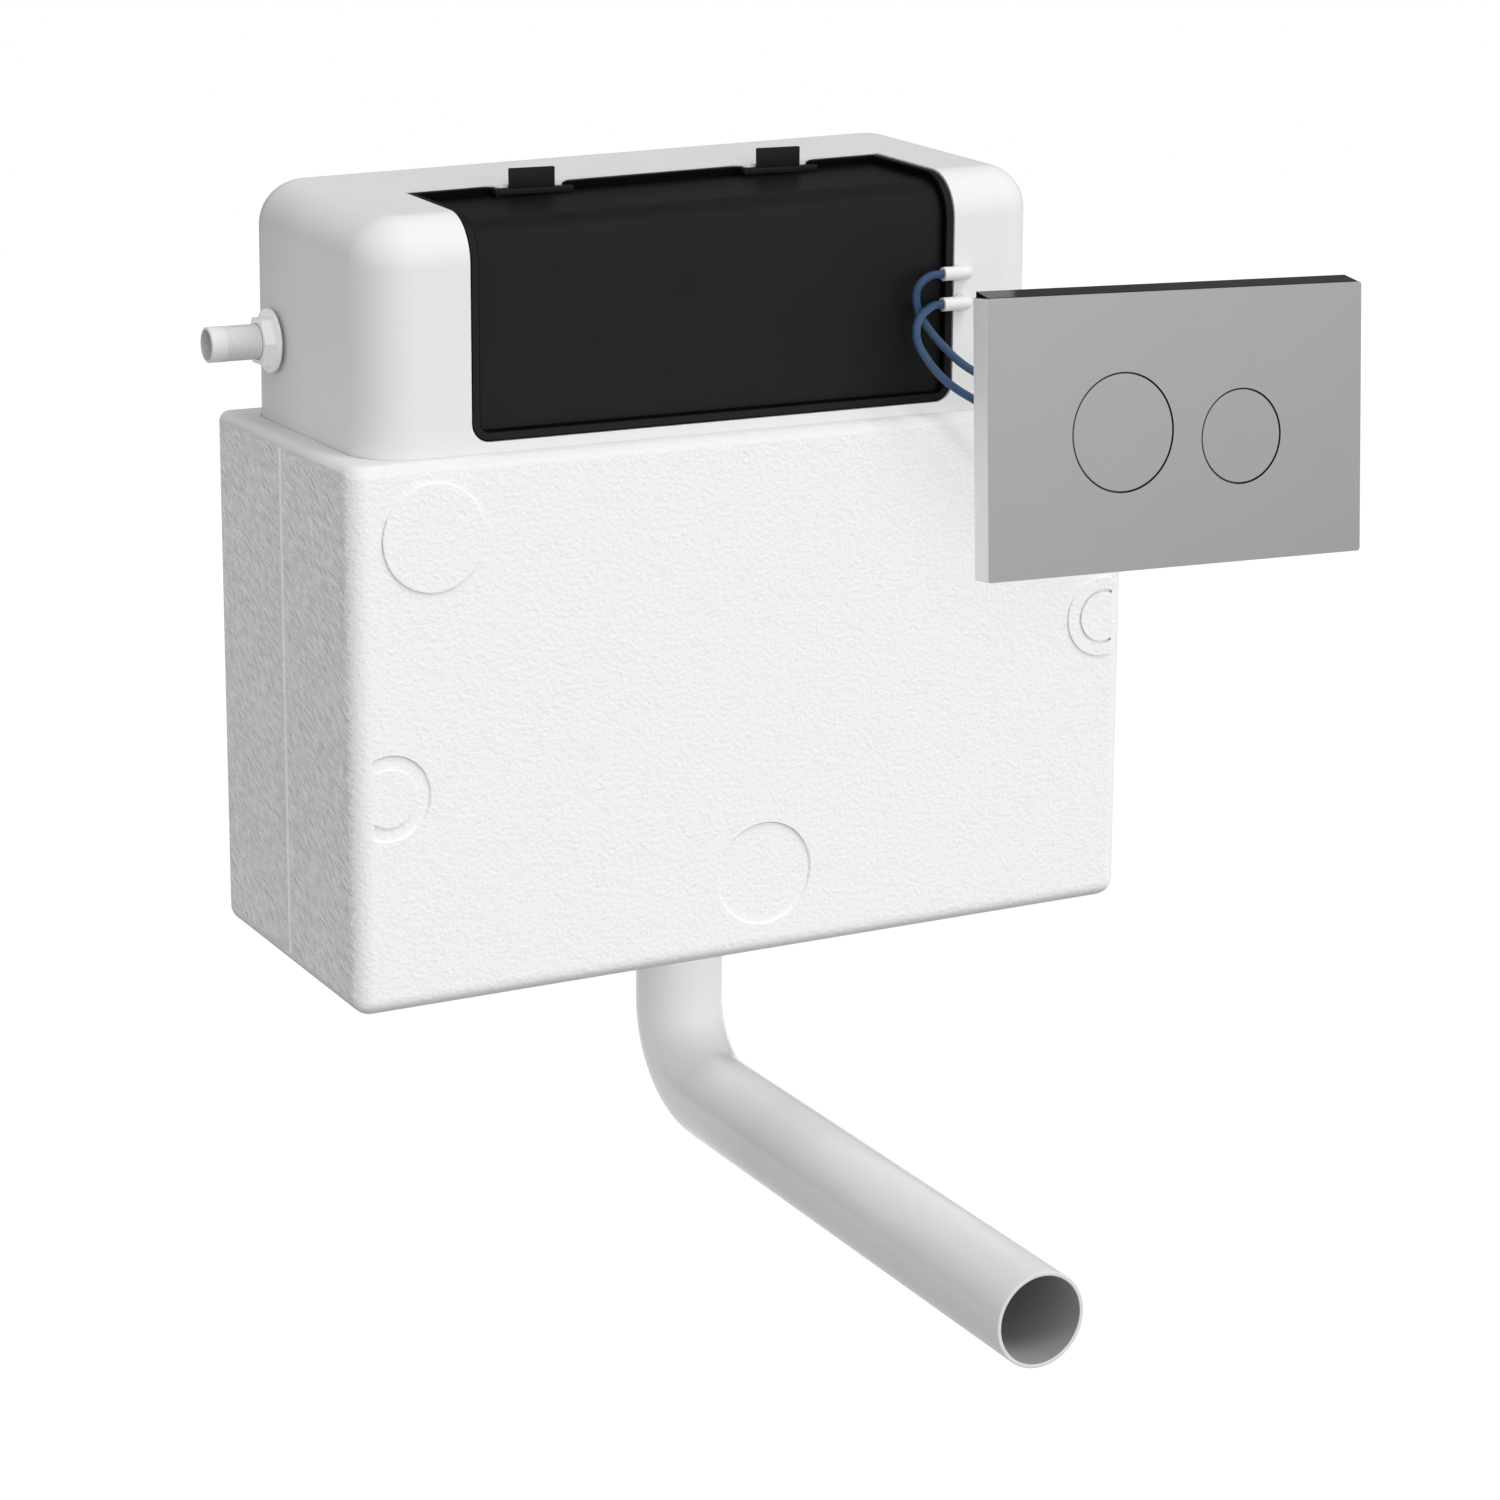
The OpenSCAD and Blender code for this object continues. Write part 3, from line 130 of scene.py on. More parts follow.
class Finish(Nodes):
    """A procedural material of one surface shader, built from values of the object's own position."""

    def __init__(self, name, colour, roughness, **fixed):
        self.material = bpy.data.materials.new(name)
        self.material.use_nodes = True
        super().__init__(self.material.node_tree)
        self.shader = self.tree.nodes["Principled BSDF"]
        self.feed("Base Color", (*colour, 1.0))
        self.feed("Roughness", roughness)
        for socket, value in fixed.items():
            self.feed(socket.replace("_", " "), value)
        self.place = self.node("TexCoord", output="Object")

    def feed(self, socket, value):
        """Sets one of the surface shader's sockets, or links a value to it."""
        if isinstance(value, Value):
            self.tree.links.new(value.link, self.shader.inputs[socket])
        else:
            self.shader.inputs[socket].default_value = value

    def noise(self, scale, detail=2.0, place=None):
        return self.node("TexNoise", Vector=place or self.place, Scale=scale, Detail=detail, Roughness=0.5)

    def along(self, axis):
        """How far along an axis (0, 1 or 2) a point lies, in metres."""
        return self.node("SeparateXYZ", output=axis, Vector=self.place)

    def facing(self, axis):
        """How far the surface faces along an axis (0, 1 or 2), from -1 to 1."""
        return self.node("SeparateXYZ", output=axis, Vector=self.node("TexCoord", output="Normal"))

    def shades(self, amount, dark, light):
        """A colour between two, as amount goes from 0 to 1."""
        return self.node("Mix", {"data_type": "RGBA"}, 2, _0=amount, _6=(*dark, 1.0), _7=(*light, 1.0))

    def greys(self, amount, dark, light):
        """A grey between two, as amount goes from 0 to 1."""
        return self.shades(amount, (dark, dark, dark), (light, light, light))

    def dent(self, height, depth):
        """Lets a height from 0 to 1 stand for a relief of the given depth in metres."""
        self.feed("Normal", self.node("Bump", Height=height, Distance=depth, Strength=1.0))


tube_blue = Finish("tube_blue", (0.05, 0.1, 0.21), 0.38, Specular_IOR_Level=0.35)
clouding = tube_blue.noise(180.0, 3.0)
tube_blue.feed("Base Color", tube_blue.shades(clouding, (0.022, 0.052, 0.112), (0.038, 0.082, 0.17)))
tube_blue.feed("Roughness", clouding * 0.2 + 0.3)
tube_blue.dent(tube_blue.noise(900.0), 0.00002)

TUBE_R = 2.0
# Each route is a list of chosen points, in millimetres, from the elbow to the nipple.
FULL_ROUTE = [
    (98.2, -161.2, 321), (94.5, -161.2, 321), (91, -161.3, 320.5), (88, -161.5, 319),
    (85.7, -161.4, 317), (84.3, -161, 314.3), (84, -160.7, 311.3), (84.4, -160.5, 308.2),
    (85.2, -160.5, 305.2), (86.3, -160.8, 302.2), (88, -161.7, 298.8), (89.8, -163.5, 295.3),
    (92.5, -166, 291), (95.6, -169.2, 286.6), (98.2, -171.6, 283.4), (100.8, -174, 280.6),
    (103.6, -176.5, 278.1), (107, -179, 275.6), (113, -182, 271.2), (120, -184, 266.6),
    (126.5, -184.7, 262.9), (133.33, -184.82, 261.27), (140.33, -184.82, 261.1)]
HALF_ROUTE = [
    (98.2, -161.2, 306.5), (94.5, -161.2, 306.5), (91.4, -163, 306.2), (87.4, -165.4, 305.2),
    (82.4, -168.2, 303.2), (78.8, -171.2, 300.6), (76.8, -173.4, 297.4), (76, -175.2, 294),
    (76.2, -176.8, 291), (77.2, -178.2, 288), (78.8, -179.4, 285), (80.8, -180.4, 281.8),
    (84, -181.6, 277.8), (87.6, -182.6, 274.2), (91.6, -183.4, 271), (96, -184, 268),
    (103.4, -185, 263.4), (110, -185.6, 258.4), (116, -186, 252.4), (122, -186, 245.6),
    (128, -186, 238.6), (134, -186, 231.8), (141, -186, 225), (149, -186, 219),
    (158, -186, 215), (168, -186.2, 212.6), (178, -186.5, 213), (187, -186.9, 216.4),
    (194.5, -187.2, 221.6), (199.8, -187.36, 226.8), (205.58, -187.38, 229.61), (211.58, -187.38, 229.46)]


def smoothed(points):
    """A curve's points through the given ones, with three more between each two."""
    line = []
    for i in range(len(points) - 1):
        before, here = points[max(i - 1, 0)], points[i]
        there, after = points[i + 1], points[min(i + 2, len(points) - 1)]
        for t in (0.0, 0.25, 0.5, 0.75):
            line.append(0.5 * (2 * here + (there - before) * t
                               + (2 * before - 5 * here + 4 * there - after) * t * t
                               + (3 * here - before - 3 * there + after) * t ** 3))
    line.append(points[-1])
    return line


def air_tube(name, route, node):
    """One tube along its route, as a round curve with closed ends."""
    curve = bpy.data.curves.new(name, "CURVE")
    curve.dimensions = "3D"
    curve.bevel_depth = TUBE_R / 1000
    curve.bevel_resolution = 5
    curve.use_fill_caps = True
    places = smoothed([at(*p) for p in route])
    line = curve.splines.new("POLY")
    line.points.add(len(places) - 1)
    for spot, place in zip(line.points, places):
        spot.co = (*place, 1.0)
    line.use_smooth = True
    tube = bpy.data.objects.new(name, curve)
    bpy.context.scene.collection.objects.link(tube)
    curve.materials.append(tube_blue.material)
    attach(tube, "shell")
    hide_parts(node)
    length = sum((b - a).length for a, b in zip(places, places[1:]))


air_tube("air_tube_full", FULL_ROUTE, "tube_full")
air_tube("air_tube_half", HALF_ROUTE, "tube_half")


# The tank: blow-moulded white polyethylene about 3 mm thick, narrower above the jacket
# than in it. Its front top edge has a sunk seat with an opening, which the black cover closes.
TANK_LEFT, TANK_RIGHT, TANK_END = -194.0, 156.0, 194.0
TANK_FRONT, TANK_BACK = -157.0, -5.0
TANK_TOP, TANK_FALL, TANK_FLOOR, SHOULDER = 369.5, 6.5, 11.0, 238.0
TANK_WALL, TANK_CORNER, TANK_EDGE = 3.0, 24.0, 21.0
SLOPE = TANK_FALL / (TANK_BACK - TANK_FRONT)
# The top rises to the right and has its own height at LEVEL_X. The left end leans in by the draft.
LEVEL_X, TANK_TILT, TANK_DRAFT = -50.0, 0.026, 2.2
# Heights that tell the upper corners and edges of a shape from its lower ones.
MIDWAY, NEAR_TOP = 300.0, 330.0

MOUTH_LEFT, MOUTH_RIGHT, MOUTH_LOW, MOUTH_BACK = -143.0, 107.0, 259.0, -82.0
MOUTH_CORNER, MOUTH_DEPTH = 9.0, 26.0
SEAT_DEPTH, SEAT_BACK, SEAT_LEDGE = 7.3, 10.9, 8.0
LATCHES = (-81.5, 48.5)
TONGUE_W, TONGUE_FLARE, TONGUE_FRONT = 31.0, 7.0, MOUTH_BACK - 5.0
TONGUE_LOW, TONGUE_H = 335.0, 70.0

FIX_X, FIX_BOSS_R, FIX_HOLE_R = 90.0, 9.0, 3.5
INLET_Y, INLET_Z, INLET_R = -43.0, 293.0, 8.63
VALVE_Y, OUTLET_R = -81.0, 30.3
ELBOW_X, ELBOW_HEIGHTS, ELBOW_R = 111.0, (321.0, 306.5), 3.3
ALONG_X, ALONG_Y, UPWARDS = (1, 0, 0), (0, 1, 0), (0, 0, 1)
TINY = 1e-6


def piece(name, bm, finish, body, *nodes, slot, smooth=35):
    """Ends a bmesh as an object that rides on a body and stands for the named nodes."""
    mesh = bpy.data.meshes.new(name)
    bm.normal_update()
    bm.to_mesh(mesh)
    bm.free()
    mesh.shade_smooth()
    mesh.set_sharp_from_angle(angle=math.radians(smooth))
    thing = bpy.data.objects.new(name, mesh)
    bpy.context.scene.collection.objects.link(thing)
    mesh.materials.append(finish.material)
    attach(thing, body)
    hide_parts(*nodes)
    return thing


def block(low, high):
    """A box between two corners."""
    bm = bmesh.new()
    low, high = at(*low), at(*high)
    place = Matrix.Translation((low + high) / 2) @ Matrix.Diagonal((*(high - low), 1.0))
    bmesh.ops.create_cube(bm, size=1.0, matrix=place)
    return bm


def rounded(bm, radius, segments, chosen):
    """Rounds the edges whose two ends satisfy the test; radius is in millimetres."""
    edges = [e for e in bm.edges if chosen(e.verts[0].co, e.verts[1].co)]
    bmesh.ops.bevel(bm, geom=edges, offset=radius / 1000, offset_type="OFFSET", segments=segments,
                    profile=0.5, affect="EDGES", material=-1, clamp_overlap=True)
    return bm


def upright(a, b):
    """Whether an edge with these two ends stands upright."""
    return abs(a.x - b.x) < TINY and abs(a.y - b.y) < TINY


def cut(bm, other, operation="DIFFERENCE"):
    """Takes one closed shape from another, or joins or crosses them."""
    pair = []
    for part in (bm, other):
        mesh = bpy.data.meshes.new("working")
        bmesh.ops.recalc_face_normals(part, faces=part.faces)
        part.to_mesh(mesh)
        part.free()
        thing = bpy.data.objects.new("working", mesh)
        bpy.context.scene.collection.objects.link(thing)
        pair.append(thing)
    change = pair[0].modifiers.new("change", "BOOLEAN")
    change.operation = operation
    change.solver = "EXACT"
    change.object = pair[1]
    bpy.context.view_layer.update()
    mesh = bpy.data.meshes.new_from_object(pair[0].evaluated_get(bpy.context.evaluated_depsgraph_get()))
    result = bmesh.new()
    result.from_mesh(mesh)
    bpy.data.meshes.remove(mesh)
    for thing in pair:
        bpy.data.meshes.remove(thing.data)
    return result


def rod(centre, axis, radius, length, segments=48, end_radius=None):
    """A round bar that starts at a place and runs along an axis, all in millimetres."""
    bm = bmesh.new()
    direction = Vector(axis).normalized()
    turn = direction.to_track_quat("Z", "Y").to_matrix().to_4x4()
    middle = at(*centre) + direction * length / 2000
    end_radius = radius if end_radius is None else end_radius
    bmesh.ops.create_cone(bm, cap_ends=True, cap_tris=False, segments=segments, radius1=radius / 1000,
                          radius2=end_radius / 1000, depth=length / 1000,
                          matrix=Matrix.Translation(middle) @ turn)
    return bm


def merged(*parts):
    """One bmesh of several."""
    whole = bmesh.new()
    for part in parts:
        mesh = bpy.data.meshes.new("working")
        part.to_mesh(mesh)
        part.free()
        whole.from_mesh(mesh)
        bpy.data.meshes.remove(mesh)
    return whole


def evened(thing):
    """Keeps large flat faces flat where a rounded edge meets them."""
    even = thing.modifiers.new("even_shading", "WEIGHTED_NORMAL")
    even.keep_sharp = True
    return thing


def top_at(y, x=LEVEL_X):
    """The height of the tank's top, which falls to the front and rises to the right."""
    return TANK_TOP + (y - TANK_BACK) * SLOPE + (x - LEVEL_X) * TANK_TILT


def tank_upper(inset):
    """The part that shows, set in from the tank's outer face."""
    bm = block((TANK_LEFT + inset, TANK_FRONT + inset, TANK_FLOOR + inset),
               (TANK_RIGHT - inset, TANK_BACK - inset, TANK_TOP))
    for v in bm.verts:
        if v.co.z > at(0, 0, MIDWAY).z:
            top = top_at(v.co.y * 1000, v.co.x * 1000) - inset * math.hypot(1, SLOPE)
            v.co.z = at(0, 0, top).z
    rounded(bm, TANK_CORNER - inset, 10, upright)
    level = at(0, 0, NEAR_TOP).z
    rounded(bm, TANK_EDGE - inset, 10, lambda a, b: min(a.z, b.z) > level and not upright(a, b))
    for v in bm.verts:
        if v.co.z > level and v.co.x < 0:
            v.co.x += TANK_DRAFT / 1000
    return bm


def tank_lower(inset):
    """The wider part in the jacket, set in from the tank's outer face."""
    bm = block((TANK_LEFT + inset, TANK_FRONT + inset, TANK_FLOOR + inset),
               (TANK_END - inset, TANK_BACK - inset, SHOULDER - inset))
    return rounded(bm, TANK_CORNER - inset, 8, upright)


def mouth(inset):
    """The space of the opening over the tank's front top edge."""
    bm = block((MOUTH_LEFT + inset, TANK_FRONT - 15, MOUTH_LOW + inset),
               (MOUTH_RIGHT - inset, MOUTH_BACK - inset, TANK_TOP + 25))
    level = at(0, 0, MIDWAY).z
    rounded(bm, max(MOUTH_CORNER - inset, 2.0), 8,
            lambda a, b: max(a.z, b.z) < level and abs(a.x - b.x) < TINY)
    under = block((MOUTH_LEFT - 20, TANK_FRONT + MOUTH_DEPTH, MOUTH_LOW - 20),
                  (MOUTH_RIGHT + 20, MOUTH_BACK + 20, top_at(TANK_FRONT) - MOUTH_DEPTH))
    return cut(bm, under)


def tongues(grow):
    """The two stubs of the tank's top that reach into the cover behind the latches."""
    parts = []
    for x in LATCHES:
        bm = bmesh.new()
        half = TONGUE_W / 2 + grow
        corners = [(-half - TONGUE_FLARE, MOUTH_BACK + 1), (-half, TONGUE_FRONT - grow),
                   (half, TONGUE_FRONT - grow), (half + TONGUE_FLARE, MOUTH_BACK + 1)]
        face = bm.faces.new([bm.verts.new(at(x + dx, y, TONGUE_LOW)) for dx, y in corners])
        raised = bmesh.ops.extrude_face_region(bm, geom=[face])["geom"]
        raised = [v for v in raised if isinstance(v, bmesh.types.BMVert)]
        bmesh.ops.translate(bm, vec=(0, 0, TONGUE_H / 1000), verts=raised)
        parts.append(bm)
    return merged(*parts)


outer = cut(tank_upper(0), tank_lower(0), "UNION")
inner = cut(tank_upper(TANK_WALL), tank_lower(TANK_WALL), "UNION")
inner = cut(inner, cut(mouth(-TANK_WALL), tank_upper(SEAT_BACK)))
tank = cut(outer, inner)
tank = cut(tank, cut(cut(mouth(0), tank_upper(SEAT_DEPTH)), tongues(0)))
tank = cut(tank, cut(mouth(SEAT_LEDGE), tongues(SEAT_LEDGE)))
for x in (-FIX_X, FIX_X):
    tank = cut(tank, rod((x, -6, FIX_Z), ALONG_Y, FIX_BOSS_R, 6), "UNION")
    tank = cut(tank, rod((x, -20, FIX_Z), ALONG_Y, FIX_HOLE_R, 30, 32))
tank = cut(tank, rod((TANK_LEFT - 5, INLET_Y, INLET_Z), ALONG_X, INLET_R, 12))
tank = cut(tank, rod((0, VALVE_Y, 5), UPWARDS, OUTLET_R, 12, 64))
for z in ELBOW_HEIGHTS:
    tank = cut(tank, rod((ELBOW_X, TANK_FRONT - 3, z), ALONG_Y, ELBOW_R, 20, 24))

tank_white = Finish("tank_white", (0.76, 0.76, 0.76), 0.36, Specular_IOR_Level=0.2)
billow = tank_white.noise(14.0, 2.0)
# The left side is painted darker towards the back, as painted shade over the plastic's random tone.
leftward = (0 - tank_white.facing(0)).above(0.6, 0.6)
towards_wall = tank_white.along(1).above(-0.05, 0.06)
tank_tone_and_painted_shade = 0.8 + billow * 0.2 - leftward * towards_wall * 0.85
tank_white.feed("Base Color", tank_white.greys(tank_tone_and_painted_shade, 0.62, 0.76))
tank_white.feed("Roughness", tank_white.noise(60.0, 3.0) * 0.12 + 0.32)
tank_white.dent(billow + tank_white.noise(1400.0) * 0.02, 0.0006)
evened(piece("tank_shell", tank, tank_white, "shell", "tank", slot="tank_plastic"))


# The foam jacket: two moulded halves of white bead foam, which meet in a seam down each
# end. The mould leaves a fine grain on the faces, a smooth rim, and round ejector marks.
JACKET_X, JACKET_D, JACKET_H = 205.0, 164.0, 254.0
JACKET_CORNER, JACKET_RIM, WALL_EDGE = 9.0, 5.0, 1.2
FRONT_HALF_END, BACK_HALF_START, SEAM_EDGE = -82.1, -81.9, 0.2
# The seam's thin rib stands out of both ends of the back half.
RIB_OUT, RIB_W, RIB_LOW, RIB_DOWN = 1.4, 2.2, 8.0, 5.0
TANK_PLAY, NUT_SPACE_R = 0.4, 46.0
FACE = -JACKET_D
RING_R, END_RING_R, END_RING_INNER_R, RING_STEP, RING_SLOPE = 25.0, 20.0, 13.0, 1.2, 0.6
ROUND = 72


def jacket_half(front_y, back_y):
    """The jacket from one place to another in depth, where None leaves that face as it is."""
    bm = block((-JACKET_X, -JACKET_D, 0), (JACKET_X, 0, JACKET_H))
    wall = -0.0001
    low, high = at(0, 0, 1).z, at(0, 0, JACKET_H - 1).z

    def on_wall(a, b):
        return a.y > wall and b.y > wall

    rounded(bm, JACKET_CORNER, 8, lambda a, b: not on_wall(a, b) and (upright(a, b) or max(a.z, b.z) < low))
    rounded(bm, JACKET_RIM, 6, lambda a, b: a.z > high and b.z > high and not on_wall(a, b))
    rounded(bm, WALL_EDGE, 3, on_wall)
    for y, side in ((front_y, -1), (back_y, 1)):
        if y is not None:
            bmesh.ops.bisect_plane(bm, geom=bm.verts[:] + bm.edges[:] + bm.faces[:], plane_co=at(0, y, 0),
                                   plane_no=(0, side, 0), clear_outer=True)
            bmesh.ops.holes_fill(bm, edges=[e for e in bm.edges if e.is_boundary])
            rim = [e for e in bm.edges if all(abs(v.co.y - y / 1000) < TINY for v in e.verts)]
            bmesh.ops.bevel(bm, geom=rim, offset=SEAM_EDGE / 1000, segments=1, profile=0.5,
                            affect="EDGES", material=-1)
    if front_y is not None:
        rib = block((-JACKET_X - RIB_OUT, front_y, RIB_LOW),
                    (JACKET_X + RIB_OUT, front_y + RIB_W, JACKET_H - RIB_DOWN))
        bm = cut(bm, rounded(rib, 0.3, 2, upright), "UNION")
    bm = cut(bm, cut(tank_upper(-TANK_PLAY), tank_lower(-TANK_PLAY), "UNION"))
    return cut(bm, rod((0, VALVE_Y, -5), UPWARDS, NUT_SPACE_R, 20, 64))


def puck(x, z, radius, rise):
    """A flat disc that stands a little out of the jacket's front, with a soft edge."""
    front = (FACE - rise) / 1000
    return rounded(rod((x, FACE - rise, z), ALONG_Y, radius, 3, ROUND), rise * 0.6, 2,
                   lambda a, b: abs(a.y - front) < TINY and abs(b.y - front) < TINY)


def dish(x, z, radius, depth):
    """A shallow round cutter with a sloping wall."""
    return rod((x, FACE + depth, z), (0, -1, 0), radius - RING_SLOPE, depth + 0.6, ROUND, radius + RING_SLOPE)


def groove(x, z, radius, width, depth):
    """A narrow round cutter."""
    return cut(rod((x, FACE - 2, z), ALONG_Y, radius + width / 2, 2 + depth, ROUND),
               rod((x, FACE - 4, z), ALONG_Y, radius - width / 2, 8 + depth, ROUND))


def kept(bm, x0, x1):
    """What lies between two places along the jacket."""
    return cut(bm, block((x0, FACE - 9, 0), (x1, FACE + 9, JACKET_H)), "INTERSECT")


front_half = jacket_half(None, FRONT_HALF_END)
front_half = cut(front_half, puck(-JACKET_X + 40, 219.5, RING_R, RING_STEP), "UNION")
front_half = cut(front_half, dish(3, 40.5, RING_R, RING_STEP))
# The marks near the ends stop where the jacket's upright corners begin.
left_x, left_z, right_x, right_z = -JACKET_X + 17, 102, JACKET_X - 14, 146
flat_left, flat_right = -JACKET_X + JACKET_CORNER, JACKET_X - JACKET_CORNER
left_marks = cut(dish(left_x, left_z, END_RING_R, RING_STEP),
                 rod((left_x, FACE - 5, left_z), ALONG_Y, END_RING_INNER_R + 0.2, 12, ROUND))
front_half = cut(front_half, kept(left_marks, flat_left, 0))
front_half = cut(front_half, kept(puck(right_x, right_z, END_RING_R, 1.0), 0, flat_right), "UNION")
front_half = cut(front_half, kept(groove(right_x, right_z, END_RING_INNER_R, 1.4, 0.4), 0, flat_right))
back_half = jacket_half(BACK_HALF_START, None)

foam = Finish("bead_foam", (0.88, 0.88, 0.88), 0.7, Specular_IOR_Level=0.45)
streak = foam.node("Mapping", {"vector_type": "TEXTURE"}, Vector=foam.place,
                   Rotation=(math.radians(28), 0, 0), Scale=(1.0, 3.4, 0.8))
ripple = foam.noise(430.0, 2.0, streak)
beads = foam.noise(900.0, 3.0)
smooth_rim = foam.along(2).above((JACKET_H - 4 - FIX_Z) / 1000, 0.003)
endways = foam.facing(0)
ends = abs(endways).above(0.9, 0.2) * (1 - smooth_rim)
# The left end's grain is coarse, and the right end's is milder.
coarse = ends * (1 - endways.above(0.9, 0.2) * 0.7)
painted_shade_underneath = (0 - foam.facing(2)).above(0.5, 0.3)
pits = (ripple - 0.5) * (coarse * 3.2 + 0.3) + 0.5
# Besides the grain, the ends are painted lighter as painted light, and the rim and the faces that look down
# are painted darker as painted shade.
foam_grain_and_painted_shading = pits * 0.4 + ends * 0.12 - smooth_rim * 0.2 + 0.5 - painted_shade_underneath * 0.45
foam.feed("Base Color", foam.greys(foam_grain_and_painted_shading, 0.5, 1.0))
foam.dent((ripple * 0.7 + beads * 0.3) * (coarse * 0.85 + 0.15 * (1 - smooth_rim)), 0.005)
evened(piece("jacket_front_foam", front_half, foam, "shell", "jacket_front", slot="foam"))
evened(piece("jacket_back_foam", back_half, foam, "shell", "jacket_back", slot="foam"))


# The access cover: black moulded plastic, bent over the tank's edge. Its flat border is 6.5 mm
# thick. The panel, sunk 4 mm within that, is 2.5 mm thick. It drops into its seat from above.
COVER_OUT, PANEL_OUT, COVER_IN = 0.5, 4.5, 7.0
COVER_PLAY, PANEL_IN = 0.4, 4.6
SECOND = 1


def marked(bm):
    """Gives all faces of a shape the second material, which its cuts then hand on."""
    for face in bm.faces:
        face.material_index = SECOND
    return bm


# Faces given the second material, the cover's edges and the sunk panel's walls, are painted near-black as
# painted shade.
panel = cut(tank_upper(COVER_OUT), tank_upper(COVER_IN))
panel = cut(panel, marked(mouth(COVER_PLAY)), "INTERSECT")
panel = cut(panel, marked(tongues(COVER_PLAY)))
panel = cut(panel, cut(marked(mouth(PANEL_IN)), tank_upper(PANEL_OUT)))
border = [e for e in panel.edges if len({face.material_index for face in e.link_faces}) == 2]
bmesh.ops.bevel(panel, geom=border, offset=0.0005, segments=1, profile=0.5,
                affect="EDGES", material=SECOND, clamp_overlap=True)

cover_black = Finish("cover_black", (0.011, 0.011, 0.011), 0.4, Specular_IOR_Level=0.12)
mould_grain = cover_black.noise(1600.0, 2.0)
painted_shade_on_top = cover_black.facing(2).above(0.8, 0.3)
# Faces that look up are painted darker, as painted shade.
cover_tone_and_painted_shade = 0.75 + cover_black.noise(30.0, 2.0) * 0.25 - painted_shade_on_top * 0.7
cover_black.feed("Base Color", cover_black.greys(cover_tone_and_painted_shade, 0.004, 0.012))
cover_black.feed("Roughness", mould_grain * 0.1 + 0.35)
cover_black.dent(mould_grain, 0.00004)
# The second material: a near-black painted shade for the cover's edges and the sunk panel's walls.
painted_recess_shade = Finish("painted_recess_shade", (0.002, 0.002, 0.002), 0.6, Specular_IOR_Level=0.05)
painted_recess_shade.dent(painted_recess_shade.noise(1600.0, 2.0), 0.00004)
cover = evened(piece("access_cover_panel", panel, cover_black, "cover", "access_cover", slot="black_plastic"))
cover.data.materials.append(painted_recess_shade.material)


# The two latches: small black clips on the cover's back edge. A foot bar lies on the cover
# and a finger tab stands up from it; bending the tab frees the cover.
FOOT_W, FOOT_D, FOOT_H = 40.0, 5.0, 3.0
TAB_W, TAB_D, TAB_LOW, TAB_HIGH = 23.0, 2.4, 2.0, 12.0
LATCH_IN, LATCH_DOWN = 0.7, 4.3

for name, node, x in (("latch_tab_left", "latch_left", LATCHES[0]),
                      ("latch_tab_right", "latch_right", LATCHES[1])):
    y = TONGUE_FRONT - LATCH_IN
    z = top_at(y, x) - LATCH_DOWN
    foot = block((x - FOOT_W / 2, y - FOOT_D, z), (x + FOOT_W / 2, y, z + FOOT_H))
    tab = block((x - TAB_W / 2, y - TAB_D, z + TAB_LOW), (x + TAB_W / 2, y, z + TAB_HIGH))
    clip = merged(*(rounded(part, 0.4, 2, lambda a, b: True) for part in (foot, tab)))
    piece(name, clip, cover_black, "cover", node, slot="black_plastic")


# The side inlet: a white threaded stub of the fill valve, drawn through the tank's end and
# held by a flanged hexagon nut. The rest of the fill valve hangs from it inside the tank.
def dressed(node, name, finish, body, slot, smooth=32, edge=0.0):
    """A merged copy of a CAD node, with soft shading and, where asked, rounded edges."""
    bm = bmesh.new()
    bm.from_mesh(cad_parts[node].data)
    bmesh.ops.remove_doubles(bm, verts=bm.verts, dist=TINY)
    bmesh.ops.dissolve_limit(bm, angle_limit=math.radians(0.5), verts=bm.verts, edges=bm.edges)
    thing = piece(name, bm, finish, body, node, slot=slot, smooth=smooth)
    if edge:
        trim = thing.modifiers.new("edge", "BEVEL")
        trim.width = edge
        trim.segments = 2
        trim.limit_method = "ANGLE"
        trim.angle_limit = math.radians(40)
        trim.harden_normals = True
    return thing


fitting_white = Finish("fitting_white", (0.8, 0.8, 0.8), 0.32, Specular_IOR_Level=0.45)
fitting_tone = fitting_white.noise(90.0, 2.0)
fitting_white.feed("Base Color", fitting_white.greys(fitting_tone, 0.92, 0.95))
fitting_white.feed("Roughness", fitting_tone * 0.15 + 0.25)
fitting_white.dent(fitting_white.noise(1500.0), 0.00003)

# The stub's crests are painted lighter than its roots, as painted light and shade on the thread. Both are
# told by the square of the distance from its axis, in thousandths of a square metre, and only outside the
# tank.
CREST_REACH, ROOT_REACH = 0.0674, 0.0505
thread_white = Finish("thread_white", (0.78, 0.78, 0.78), 0.4, Specular_IOR_Level=0.3)
aside = thread_white.along(1) - INLET_Y / 1000
aloft = thread_white.along(2) - (INLET_Z - FIX_Z) / 1000
reach = (aside * aside + aloft * aloft) * 1000
in_tank = thread_white.along(0).above(TANK_LEFT / 1000, 0.001)
past_root = reach.above(ROOT_REACH, 0.002)
crest = reach.above(CREST_REACH, 0.002) - past_root * 0.72
thread_painted_shading = 0.9 + (crest * 0.16 - 0.16 + past_root * 0.12) * (1 - in_tank)
thread_white.feed("Base Color", thread_white.greys(thread_painted_shading, 0.1, 0.86))
thread_white.dent(thread_white.noise(1500.0), 0.00003)
dressed("fill_valve_body", "inlet_and_fill_body", thread_white, "shell", "white_plastic")
dressed("inlet_nut", "inlet_backnut", fitting_white, "shell", "white_plastic", edge=0.0004)


